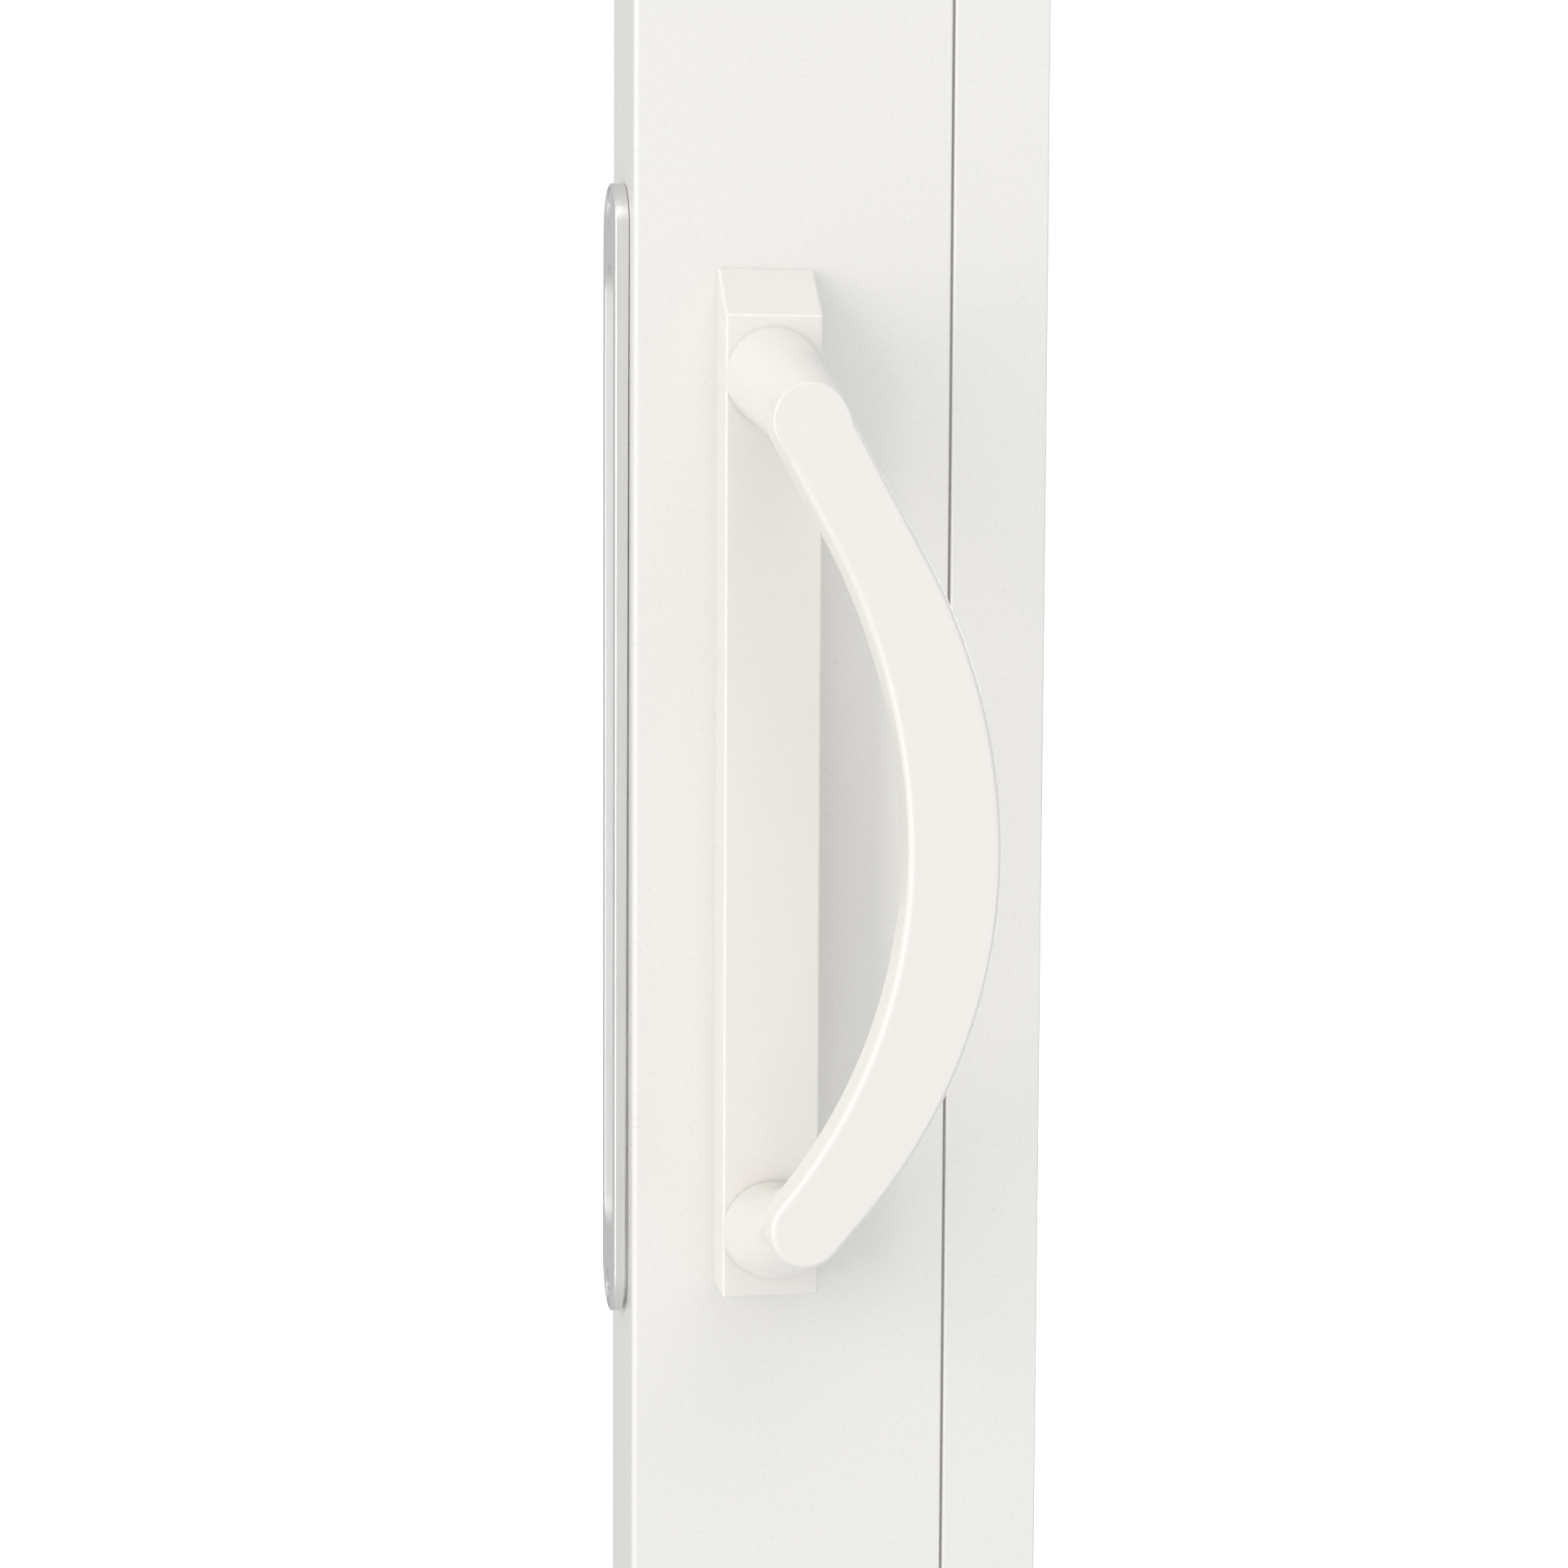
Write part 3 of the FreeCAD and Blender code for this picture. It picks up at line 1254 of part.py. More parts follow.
os.makedirs("parts", exist_ok=True)
for node, item in NODES.items():
    item.Shape.exportStep("parts/" + node + ".step")
    print("%-22s solids %2d  volume %10.1f mm3" % (node, len(item.Shape.Solids), item.Shape.Volume))
print(len(NODES), "nodes")
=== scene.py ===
import json
import math

import bmesh
import bpy
from mathutils import Matrix, Vector


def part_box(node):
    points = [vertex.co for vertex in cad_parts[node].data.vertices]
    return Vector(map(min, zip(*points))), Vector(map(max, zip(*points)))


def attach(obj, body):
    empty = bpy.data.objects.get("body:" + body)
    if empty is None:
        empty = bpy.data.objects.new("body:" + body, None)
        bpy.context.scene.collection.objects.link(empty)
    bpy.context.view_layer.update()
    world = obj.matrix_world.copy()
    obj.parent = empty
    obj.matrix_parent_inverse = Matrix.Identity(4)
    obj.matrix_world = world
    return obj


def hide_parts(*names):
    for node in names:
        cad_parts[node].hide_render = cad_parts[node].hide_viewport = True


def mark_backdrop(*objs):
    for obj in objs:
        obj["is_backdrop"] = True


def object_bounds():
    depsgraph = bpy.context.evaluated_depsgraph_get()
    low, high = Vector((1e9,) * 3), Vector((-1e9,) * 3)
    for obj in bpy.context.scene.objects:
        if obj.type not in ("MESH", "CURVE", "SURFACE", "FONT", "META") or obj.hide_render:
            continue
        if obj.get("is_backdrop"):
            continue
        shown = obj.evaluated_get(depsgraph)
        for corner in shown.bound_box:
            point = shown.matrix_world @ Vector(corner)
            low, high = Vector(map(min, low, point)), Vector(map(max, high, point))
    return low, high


# A sliding window sash with a bowed lever handle: finishes for every part, finer surfaces for the
# parts that show, the studio and the camera.

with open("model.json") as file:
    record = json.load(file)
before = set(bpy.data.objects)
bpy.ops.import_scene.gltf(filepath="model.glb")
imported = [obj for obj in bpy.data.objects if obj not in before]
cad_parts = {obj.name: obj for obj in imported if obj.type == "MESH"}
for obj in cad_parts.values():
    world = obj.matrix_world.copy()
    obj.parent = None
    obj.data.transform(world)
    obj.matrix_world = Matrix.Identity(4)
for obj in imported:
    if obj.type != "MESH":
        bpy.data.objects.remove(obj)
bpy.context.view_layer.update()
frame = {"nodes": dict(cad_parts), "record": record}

MM = 0.001
nodes = frame["nodes"]


# ---------------------------------------------------------------- sizes, in metres

ROOM_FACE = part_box("lock_stile")[0].y
GRIP_X = sum(corner.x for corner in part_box("handle_cover")) / 2
PIVOT_HEIGHT = 0.525
FOOT_HEIGHT = 0.315
POST_RADIUS = 12.1 * MM
BAR_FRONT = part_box("handle_lever")[0].y
BAR_THICKNESS = 10 * MM
BAR_BACK = BAR_FRONT + BAR_THICKNESS
BAR_ROUND = 1.6 * MM
BAR_END_RADIUS = 8.9 * MM
BAR_INSET = 12.2 * MM       # from a post's centre to the centre of the bar's round end
BOW_HEIGHT = 0.413          # where the bow stands furthest out
BOW_INNER = 23.2 * MM
BOW_OUTER = 45.3 * MM
LEAN_TOP = math.radians(29)
LEAN_BOTTOM = math.radians(41)
COVER_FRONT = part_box("handle_cover")[0].y
LEVER_BASE = COVER_FRONT - 0.3 * MM
STEM_RADIUS = 6.5 * MM
STEM_LENGTH = 12.5 * MM
HOOK_PIVOTS = (0.5, 0.36)
SCREW_OFFSET = 138.4 * MM   # from the middle of the edge plate to each of its screws


# ---------------------------------------------------------------- materials

class Nodes:
    """A material's node tree, with one call per kind of node."""

    def __init__(self, name):
        self.material = bpy.data.materials.new(name)
        self.material.use_nodes = True
        self.tree = self.material.node_tree
        self.tree.nodes.clear()
        self.output = self.add("ShaderNodeOutputMaterial")
        self.coordinates = self.add("ShaderNodeTexCoord").outputs["Object"]

    def add(self, kind, **settings):
        node = self.tree.nodes.new(kind)
        for key, value in settings.items():
            setattr(node, key, value)
        return node

    def link(self, source, target):
        self.tree.links.new(source, target)

    def noise(self, scale, detail, stretch=None):
        node = self.add("ShaderNodeTexNoise")
        node.inputs["Scale"].default_value = scale
        node.inputs["Detail"].default_value = detail
        coordinates = self.coordinates
        if stretch is not None:
            mapping = self.add("ShaderNodeMapping")
            mapping.inputs["Scale"].default_value = stretch
            self.link(coordinates, mapping.inputs["Vector"])
            coordinates = mapping.outputs["Vector"]
        self.link(coordinates, node.inputs["Vector"])
        return node.outputs["Fac"]

    def ramp(self, factor, stops):
        node = self.add("ShaderNodeValToRGB")
        elements = node.color_ramp.elements
        while len(elements) < len(stops):
            elements.new(0.5)
        for element, (position, color) in zip(elements, stops):
            element.position = position
            element.color = (*color, 1)
        self.link(factor, node.inputs["Fac"])
        return node.outputs["Color"]

    def remap(self, factor, low, high):
        node = self.add("ShaderNodeMapRange")
        node.inputs["From Min"].default_value = 0.3
        node.inputs["From Max"].default_value = 0.7
        node.inputs["To Min"].default_value = low
        node.inputs["To Max"].default_value = high
        self.link(factor, node.inputs["Value"])
        return node.outputs["Result"]

    def bump(self, height, strength, distance):
        node = self.add("ShaderNodeBump")
        node.inputs["Strength"].default_value = strength
        node.inputs["Distance"].default_value = distance
        self.link(height, node.inputs["Height"])
        return node.outputs["Normal"]

    def principled(self, **values):
        shader = self.add("ShaderNodeBsdfPrincipled")
        for key, value in values.items():
            shader.inputs[key.replace("_", " ")].default_value = value
        self.link(shader.outputs["BSDF"], self.output.inputs["Surface"])
        return shader


def shade(color, factor):
    """The colour made darker by a factor."""
    return tuple(channel * factor for channel in color)


GRAIN_SCALE = 850           # waves of fine grain in a metre of paint
SPECK_SCALE = 46
SPECK_SIZE = 0.018
ALL_WHITE, ALL_BLACK = (1, 1, 1), (0, 0, 0)


def powder_coat(name, color, roughness, peel_scale, peel_depth, coat):
    """Baked powder paint: a fine grain, orange peel, and a few specks of dust under the skin."""
    n = Nodes(name)
    grain = n.noise(GRAIN_SCALE, 2)
    speck_map = n.add("ShaderNodeTexVoronoi", feature="F1")
    speck_map.inputs["Scale"].default_value = SPECK_SCALE
    n.link(n.coordinates, speck_map.inputs["Vector"])
    base = n.ramp(grain, [(0.3, shade(color, 0.985)), (0.7, color)])
    specks = n.ramp(speck_map.outputs["Distance"], [(0.0, ALL_WHITE), (SPECK_SIZE, ALL_BLACK)])
    mix = n.add("ShaderNodeMix", data_type="RGBA")
    mix.inputs["B"].default_value = (*shade(color, 0.8), 1)
    n.link(specks, mix.inputs["Factor"])
    n.link(base, mix.inputs["A"])
    shader = n.principled(Specular_IOR_Level=0.5, Coat_Weight=coat, Coat_Roughness=0.06)
    n.link(mix.outputs["Result"], shader.inputs["Base Color"])
    n.link(n.remap(grain, roughness - 0.008, roughness + 0.008), shader.inputs["Roughness"])
    n.link(n.bump(n.noise(peel_scale, 1), 0.2, peel_depth), shader.inputs["Normal"])
    return n.material


def metal(name, color, roughness, grain_scale, grain_stretch, grain_depth, tarnish=0.9):
    """Bare, plated or anodised metal with a drawn or cast grain."""
    n = Nodes(name)
    shader = n.principled(Metallic=1.0)
    grain = n.noise(grain_scale, 4, grain_stretch)
    patches = n.noise(35, 3)
    n.link(n.ramp(patches, [(0.35, shade(color, tarnish)), (0.65, color)]),
           shader.inputs["Base Color"])
    n.link(n.remap(grain, roughness * 0.8, roughness * 1.25), shader.inputs["Roughness"])
    n.link(n.bump(grain, 0.3, grain_depth), shader.inputs["Normal"])
    return n.material


def plastic(name, color, roughness, grain_scale, grain_depth, sheen=0.0):
    """Moulded nylon, rubber or sealant."""
    n = Nodes(name)
    shader = n.principled(Specular_IOR_Level=0.45, Sheen_Weight=sheen)
    n.link(n.ramp(n.noise(22, 3), [(0.3, shade(color, 0.93)), (0.7, color)]),
           shader.inputs["Base Color"])
    n.link(n.remap(n.noise(150, 2), roughness - 0.05, roughness + 0.08),
           shader.inputs["Roughness"])
    n.link(n.bump(n.noise(grain_scale, 3), 0.4, grain_depth), shader.inputs["Normal"])
    return n.material


def clear_glass(name):
    """Float glass, faintly uneven."""
    n = Nodes(name)
    shader = n.principled(Base_Color=(0.992, 0.998, 0.995, 1), Transmission_Weight=1.0, IOR=1.45)
    n.link(n.remap(n.noise(14, 2), 0.0, 0.006), shader.inputs["Roughness"])
    return n.material


WHITE = (0.866, 0.854, 0.826)
HANDLE_WHITE = (0.886, 0.862, 0.822)

MATERIALS = {
    "white_powder_coat": powder_coat("white_powder_coat", WHITE, 0.28, 200, 0.02 * MM, 0.3),
    "handle_white": powder_coat("handle_white", HANDLE_WHITE, 0.2, 260, 0.02 * MM, 0.5),
    "satin_plate": metal("satin_plate", (0.8, 0.795, 0.785), 0.4, 1400, (1, 1, 0.05), 0.01 * MM,
                         0.97),
    "screw_chrome": metal("screw_chrome", (0.92, 0.92, 0.92), 0.08, 800, (1, 1, 1), 0.005 * MM),
    "zinc_steel": metal("zinc_steel", (0.62, 0.63, 0.66), 0.3, 500, (1, 1, 1), 0.02 * MM, 0.8),
    "hardened_steel": metal("hardened_steel", (0.42, 0.42, 0.43), 0.36, 700, (1, 1, 0.2),
                            0.02 * MM, 0.8),
    "mill_aluminium": metal("mill_aluminium", (0.7, 0.71, 0.72), 0.32, 900, (1, 1, 0.04),
                            0.015 * MM),
    "glazing": clear_glass("glazing"),
    "gasket_rubber": plastic("gasket_rubber", (0.03, 0.03, 0.032), 0.55, 1200, 0.03 * MM, 0.1),
    "sealant": plastic("sealant", (0.05, 0.05, 0.052), 0.6, 300, 0.05 * MM),
    "nylon_white": plastic("nylon_white", (0.78, 0.77, 0.74), 0.4, 700, 0.02 * MM),
    "nylon_grey": plastic("nylon_grey", (0.3, 0.31, 0.32), 0.45, 700, 0.02 * MM),
    "pile": plastic("pile", (0.33, 0.34, 0.35), 0.85, 2500, 0.1 * MM, 0.6),
}

SLOT_OF = {part["node"]: part["material_slot"] for part in frame["record"]["subparts"]}

for name, obj in nodes.items():
    obj.data.materials.clear()
    obj.data.materials.append(MATERIALS[SLOT_OF[name]])


# ---------------------------------------------------------------- mesh helpers

def from_bmesh(name, bm):
    """The finished mesh, with every face turned outwards."""
    bmesh.ops.recalc_face_normals(bm, faces=bm.faces)
    mesh = bpy.data.meshes.new(name)
    bm.to_mesh(mesh)
    bm.free()
    return mesh


def piece(name, mesh, node, body, sharp_degrees=40, stands_for=True):
    """A finished piece: smooth, sharp edges kept, in the finish of the part it stands for."""
    obj = bpy.data.objects.new(name, mesh)
    bpy.context.scene.collection.objects.link(obj)
    slot = SLOT_OF[node]
    mesh.materials.clear()
    mesh.materials.append(MATERIALS[slot])
    mesh.shade_smooth()
    mesh.set_sharp_from_angle(angle=math.radians(sharp_degrees))
    flat_faces = obj.modifiers.new("flat_faces", "WEIGHTED_NORMAL")
    flat_faces.keep_sharp = True
    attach(obj, body)
    if stands_for:
        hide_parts(node)


def evaluated(obj):
    """The object's mesh with its modifiers applied; the object itself is removed."""
    depsgraph = bpy.context.evaluated_depsgraph_get()
    mesh = bpy.data.meshes.new_from_object(obj.evaluated_get(depsgraph))
    bpy.data.objects.remove(obj)
    return mesh


def temporary(name, mesh):
    """An object that only carries a mesh through a modifier."""
    obj = bpy.data.objects.new(name, mesh)
    bpy.context.scene.collection.objects.link(obj)
    return obj


def boolean(operation, mesh, others):
    """The mesh joined with, or cut by, each of the other meshes."""
    base = temporary("boolean_base", mesh)
    tools = [temporary("boolean_tool", other) for other in others]
    for tool in tools:
        modifier = base.modifiers.new("boolean", "BOOLEAN")
        modifier.operation = operation
        modifier.solver = "EXACT"
        modifier.object = tool
    result = evaluated(base)
    for tool in tools:
        bpy.data.objects.remove(tool)
    return result


def bridge(bm, loops, closed=True):
    """Quads between loops of equal length; closed solids get a face on the first and last loop."""
    rings = [[bm.verts.new(point) for point in loop] for loop in loops]
    for first, second in zip(rings, rings[1:]):
        count = len(first)
        for index in range(count):
            following = (index + 1) % count
            bm.faces.new((first[index], first[following], second[following], second[index]))
    if closed:
        bm.faces.new(rings[0])
        bm.faces.new(reversed(rings[-1]))
    return rings


CLOSED_RADIUS = 0.001 * MM  # a ring this small is merged to a point


def lathe(profile, place, axis="Y", segments=48):
    """A turned solid from (radius, distance along the axis) points; radius 0 ends close it."""
    bm = bmesh.new()
    loops = []
    for radius, along in profile:
        radius = max(radius, CLOSED_RADIUS)
        loop = []
        for step in range(segments):
            angle = 2 * math.pi * step / segments
            a, b = radius * math.cos(angle), radius * math.sin(angle)
            offset = {"X": (along, a, b), "Y": (a, along, b)}[axis]
            loop.append(Vector(place) + Vector(offset))
        loops.append(loop)
    bridge(bm, loops)
    bmesh.ops.remove_doubles(bm, verts=bm.verts, dist=5 * CLOSED_RADIUS)
    return from_bmesh("lathe", bm)


def beveled_box(low, high, radius, segments=3):
    """A box with every edge rounded."""
    bm = bmesh.new()
    size = [end - start for start, end in zip(low, high)]
    middle = [(start + end) / 2 for start, end in zip(low, high)]
    placing = Matrix.Translation(middle) @ Matrix.Diagonal((*size, 1))
    bmesh.ops.create_cube(bm, size=1, matrix=placing)
    if radius:
        bmesh.ops.bevel(bm, geom=bm.edges[:], offset=radius, segments=segments, profile=0.5,
                        affect="EDGES")
    return from_bmesh("box", bm)


def stadium_loop(x, half_width, low, high, segments=24):
    """An upright round-ended outline in the plane at x, from low to high."""
    points = []
    for centre, start in ((high - half_width, 0.0), (low + half_width, math.pi)):
        for step in range(segments + 1):
            angle = start + math.pi * step / segments
            points.append(Vector((x, half_width * math.cos(angle),
                                  centre + half_width * math.sin(angle))))
    return points


# ---------------------------------------------------------------- bowed lever

END_CENTRES = {
    1: (PIVOT_HEIGHT - BAR_INSET, LEAN_TOP),
    -1: (FOOT_HEIGHT + BAR_INSET, LEAN_BOTTOM),
}


def bow_side(way, side):
    """The radius of the arc on one side of the bow, and the place of its centre across the sash."""
    end_z, lean = END_CENTRES[way]
    middle_x = GRIP_X + (BOW_OUTER if side > 0 else BOW_INNER)
    rise = abs(end_z - BOW_HEIGHT)
    radius = (rise * math.sin(lean) + (GRIP_X - middle_x) * math.cos(lean)
              + side * BAR_END_RADIUS) / (1 - math.cos(lean))
    return radius, middle_x - radius


def bow_outline():
    """Outline points of the bow seen from the room, each with its outward direction.

    way is 1 for the upper half and -1 for the lower; side is 1 for the outer edge of the bow.
    """
    arc_steps, run_steps, cap_steps = 40, 8, 28
    points = []

    def arc(side, way, outwards):
        radius, centre_x = bow_side(way, side)
        lean = END_CENTRES[way][1]
        for step in range(arc_steps):
            share = step / arc_steps
            angle = way * lean * (share if outwards else 1 - share)
            normal = (math.cos(angle), math.sin(angle))
            points.append(((centre_x + radius * normal[0], BOW_HEIGHT + radius * normal[1]),
                           (side * normal[0], side * normal[1])))

    def run(side, way, outwards):
        radius, centre_x = bow_side(way, side)
        end_z, lean = END_CENTRES[way]
        normal = (math.cos(lean), way * math.sin(lean))
        leaves = Vector((centre_x + radius * normal[0], BOW_HEIGHT + radius * normal[1]))
        meets = Vector((GRIP_X + side * BAR_END_RADIUS * normal[0],
                        end_z + side * BAR_END_RADIUS * normal[1]))
        first, last = (leaves, meets) if outwards else (meets, leaves)
        for step in range(run_steps):
            point = first.lerp(last, step / run_steps)
            points.append(((point.x, point.y), (side * normal[0], side * normal[1])))

    def cap(way, start_side):
        end_z, lean = END_CENTRES[way]
        start = way * lean if start_side > 0 else way * lean + math.pi
        turn = way * start_side * math.pi
        for step in range(cap_steps):
            angle = start + turn * step / cap_steps
            normal = (math.cos(angle), math.sin(angle))
            points.append(((GRIP_X + BAR_END_RADIUS * normal[0],
                            end_z + BAR_END_RADIUS * normal[1]), normal))

    run(1, 1, False)
    arc(1, 1, False)
    arc(1, -1, True)
    run(1, -1, True)
    cap(-1, 1)
    run(-1, -1, False)
    arc(-1, -1, False)
    arc(-1, 1, True)
    run(-1, 1, True)
    cap(1, -1)
    return points


def bow_mesh():
    """The flat bar: the bow's outline with its front and back edges rounded."""
    outline = bow_outline()
    round_steps = 8
    levels = []
    for step in range(round_steps + 1):
        angle = math.pi / 2 * step / round_steps
        levels.append((BAR_FRONT + BAR_ROUND * (1 - math.cos(angle)),
                       BAR_ROUND * (1 - math.sin(angle))))
    levels += [(BAR_FRONT + BAR_BACK - y, inset) for y, inset in reversed(levels)]
    bm = bmesh.new()
    loops = [[Vector((x - nx * inset, y, z - nz * inset)) for (x, z), (nx, nz) in outline]
             for y, inset in levels]
    bridge(bm, loops)
    return from_bmesh("bow", bm)


# Each post: the height of its foot, how near the room it ends, the radius, place and rounding of
# its end, how late it leans (0 is a straight cone), and how far it spreads along the bar.
NECKS = {
    1: {"base": PIVOT_HEIGHT, "tip": BAR_FRONT + 0.03 * MM, "tip_radius": 8.85 * MM,
        "tip_x": GRIP_X - 0.25 * MM, "tip_z": END_CENTRES[1][0] + 0.35 * MM, "lean_late": 0.1,
        "tip_round": 0.5 * MM, "spread": 1 * MM},
    -1: {"base": FOOT_HEIGHT, "tip": BAR_BACK - 1.4 * MM, "tip_radius": 8.5 * MM,
         "tip_x": GRIP_X + 0.2 * MM, "tip_z": END_CENTRES[-1][0] - 0.6 * MM, "lean_late": 0.45,
         "tip_round": 0.6 * MM, "spread": 3 * MM},
}


def neck_mesh(way):
    """The post: round on its plate, leaning inwards and spreading along the bar."""
    neck = NECKS[way]
    along = way * (END_CENTRES[way][1] - math.pi / 2)
    major = Vector((math.cos(along), 0, math.sin(along)))
    minor = Vector((-math.sin(along), 0, math.cos(along)))
    base_point = Vector((GRIP_X, LEVER_BASE, neck["base"]))
    tip_point = Vector((neck["tip_x"], neck["tip"], neck["tip_z"]))
    base_round, round_steps, wall_steps, segments = 0.4 * MM, 8, 48, 120

    def level(share, inset):
        eased = (1 - neck["lean_late"]) * share + neck["lean_late"] * share * share
        spread = neck["spread"] * share ** 3
        half_width = POST_RADIUS + (neck["tip_radius"] - POST_RADIUS) * eased - inset
        centre = base_point.lerp(tip_point, eased) + major * spread
        centre.y = LEVER_BASE + (neck["tip"] - LEVER_BASE) * share
        loop = []
        for k in range(segments):
            angle = 2 * math.pi * (k + 0.5) / segments
            reach = half_width * math.cos(angle) + math.copysign(spread, math.cos(angle))
            loop.append(centre + major * reach + minor * (half_width * math.sin(angle)))
        return loop

    height = LEVER_BASE - neck["tip"]
    base_share, tip_share = base_round / height, neck["tip_round"] / height
    loops = []
    for step in range(round_steps):
        angle = math.pi / 2 * step / round_steps
        loops.append(level(base_share * (1 - math.cos(angle)), base_round * (1 - math.sin(angle))))
    for step in range(wall_steps + 1):
        loops.append(level(base_share + (1 - base_share - tip_share) * step / wall_steps, 0))
    for step in range(1, round_steps + 1):
        angle = math.pi / 2 * step / round_steps
        loops.append(level(1 - tip_share * (1 - math.sin(angle)),
                           neck["tip_round"] * (1 - math.cos(angle))))
    bm = bmesh.new()
    bridge(bm, loops)
    return from_bmesh("neck", bm)


lever_mesh = boolean("UNION", bow_mesh(), [neck_mesh(1), neck_mesh(-1)])
piece("grip_lever", lever_mesh, "handle_lever", "handle", 50)


def stem_mesh():
    """The turned stem behind the upper post, with the groove that its circlip sits in."""
    inside_post, groove_low, groove_high = -6 * MM, 11.2 * MM, 12.2 * MM
    groove_radius = STEM_RADIUS - 1 * MM
    profile = [(0, inside_post), (STEM_RADIUS, inside_post), (STEM_RADIUS, groove_low),
               (groove_radius, groove_low), (groove_radius, groove_high),
               (STEM_RADIUS, groove_high), (STEM_RADIUS, STEM_LENGTH), (0, STEM_LENGTH)]
    return lathe(profile, (GRIP_X, LEVER_BASE, PIVOT_HEIGHT))


piece("lever_stem", stem_mesh(), "handle_lever", "handle", stands_for=False)


# ---------------------------------------------------------------- handle cover

def cover_shell():
    """The handle's cover: open at the back, with a bevelled top and a hole for the lever's bush."""
    low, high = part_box("handle_cover")
    bevel, wall, clear = 12 * MM, 2 * MM, 1 * MM
    rim_round, hollow_round = 0.8 * MM, 0.6 * MM
    bush_radius, bush_depth = 8 * MM, 20 * MM
    seat_radius, seat_depth = 7.5 * MM, 1.6 * MM
    ahead = 3 * MM          # how far in front of the cover the cutters start
    profile = [(ROOM_FACE, low.z), (low.y, low.z), (low.y, high.z - bevel),
               (low.y + bevel, high.z), (ROOM_FACE, high.z)]
    bm = bmesh.new()
    loops = [[Vector((x, y, z)) for y, z in profile] for x in (low.x, high.x)]
    bridge(bm, loops)
    rims = [edge for edge in bm.edges
            if not all(abs(vert.co.y - ROOM_FACE) < 1e-6 for vert in edge.verts)]
    bmesh.ops.bevel(bm, geom=rims, offset=rim_round, segments=5, profile=0.5, affect="EDGES",
                    clamp_overlap=True)
    shell = from_bmesh("cover", bm)
    hollow = beveled_box((low.x + wall, low.y + wall, low.z + wall),
                         (high.x - wall, ROOM_FACE + clear, high.z - bevel - clear),
                         hollow_round)
    holes = [lathe([(0, -ahead), (radius, -ahead), (radius, depth), (0, depth)],
                   (GRIP_X, low.y, height))
             for radius, depth, height in ((bush_radius, bush_depth, PIVOT_HEIGHT),
                                           (seat_radius, seat_depth, FOOT_HEIGHT))]
    return boolean("DIFFERENCE", shell, [hollow, *holes])


piece("cover_shell", cover_shell(), "handle_cover", "sash", 30)


# ---------------------------------------------------------------- dished edge plate and its screws

plate_low, plate_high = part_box("edge_plate")
PLATE_OUT = plate_low.x
PLATE_MIDDLE = (plate_low.z + plate_high.z) / 2
SCREW_HEIGHTS = {"upper": PLATE_MIDDLE + SCREW_OFFSET, "lower": PLATE_MIDDLE - SCREW_OFFSET}


def gap_height(share):
    """The open joint under the plate's rim, a hair at the top and wider towards the bottom."""
    return (0.15 + 0.85 * share * share) * MM


def countersink(height):
    """The cutter for one screw's hole: a short straight mouth, a cone and a clearance hole."""
    mouth, hole = 4.7 * MM, 2.1 * MM
    cone_start, cone_end, through = 0.5 * MM, 2.9 * MM, 8 * MM
    profile = [(0, -1 * MM), (mouth, -1 * MM), (mouth, cone_start), (hole, cone_end),
               (hole, through), (0, through)]
    return lathe(profile, (PLATE_OUT, 0, height), "X", 40)


def dished_plate():
    """The edge plate: a rounded rim proud of the stile round a dish with the hooks' slots."""
    low, high, middle = plate_low.z, plate_high.z, PLATE_MIDDLE
    half = (plate_high.y - plate_low.y) / 2
    dish_half, dish_reach, depth = 8 * MM, 123.6 * MM, 6.2 * MM
    relief = 2.2 * MM
    round_steps, rim_round, inner_round, floor_round = 6, 0.6 * MM, 0.4 * MM, 1.2 * MM
    slope = 1.3 * MM
    back_half, back_reach = dish_half + 1.4 * MM, 125 * MM
    slot_half, slot_down, slot_up = 2.6 * MM, 28 * MM, 5.5 * MM
    inner_foot = stadium_loop(0, half - relief, low + relief, high - relief)
    outer_foot = stadium_loop(0, half, low, high)
    loops = [inner_foot]
    for foot in (inner_foot, outer_foot):
        loops.append([Vector((-gap_height((high - point.z) / (high - low)), point.y, point.z))
                      for point in foot])
    for step in range(round_steps + 1):
        angle = math.pi / 2 * step / round_steps
        inset = rim_round * (1 - math.cos(angle))
        x = PLATE_OUT + rim_round * (1 - math.sin(angle))
        loops.append(stadium_loop(x, half - inset, low + inset, high - inset))
    for step in range(round_steps + 1):
        angle = math.pi / 2 * step / round_steps
        grow = inner_round * (1 - math.sin(angle))
        x = PLATE_OUT + inner_round * (1 - math.cos(angle))
        loops.append(stadium_loop(x, dish_half + grow, middle - dish_reach - grow,
                                  middle + dish_reach + grow))
    for step in range(round_steps + 1):
        angle = math.pi / 2 * step / round_steps
        inset = slope + floor_round * (1 - math.cos(angle))
        x = PLATE_OUT + depth - floor_round * (1 - math.sin(angle))
        loops.append(stadium_loop(x, dish_half - inset, middle - dish_reach + inset,
                                  middle + dish_reach - inset))
    bm = bmesh.new()
    front_rings = bridge(bm, loops, closed=False)
    bm.faces.new(front_rings[-1])
    back_loops = [inner_foot,
                  stadium_loop(0, back_half, middle - back_reach, middle + back_reach),
                  stadium_loop(plate_high.x, back_half, middle - back_reach, middle + back_reach)]
    back_rings = bridge(bm, back_loops, closed=False)
    bm.faces.new(back_rings[-1])
    bmesh.ops.remove_doubles(bm, verts=bm.verts, dist=1e-6)
    plate = from_bmesh("plate", bm)
    slots = [beveled_box((0, -slot_half, pivot - slot_down),
                         (depth, slot_half, pivot + slot_up), 0) for pivot in HOOK_PIVOTS]
    sinks = [countersink(height) for height in SCREW_HEIGHTS.values()]
    return boolean("DIFFERENCE", plate, slots + sinks)


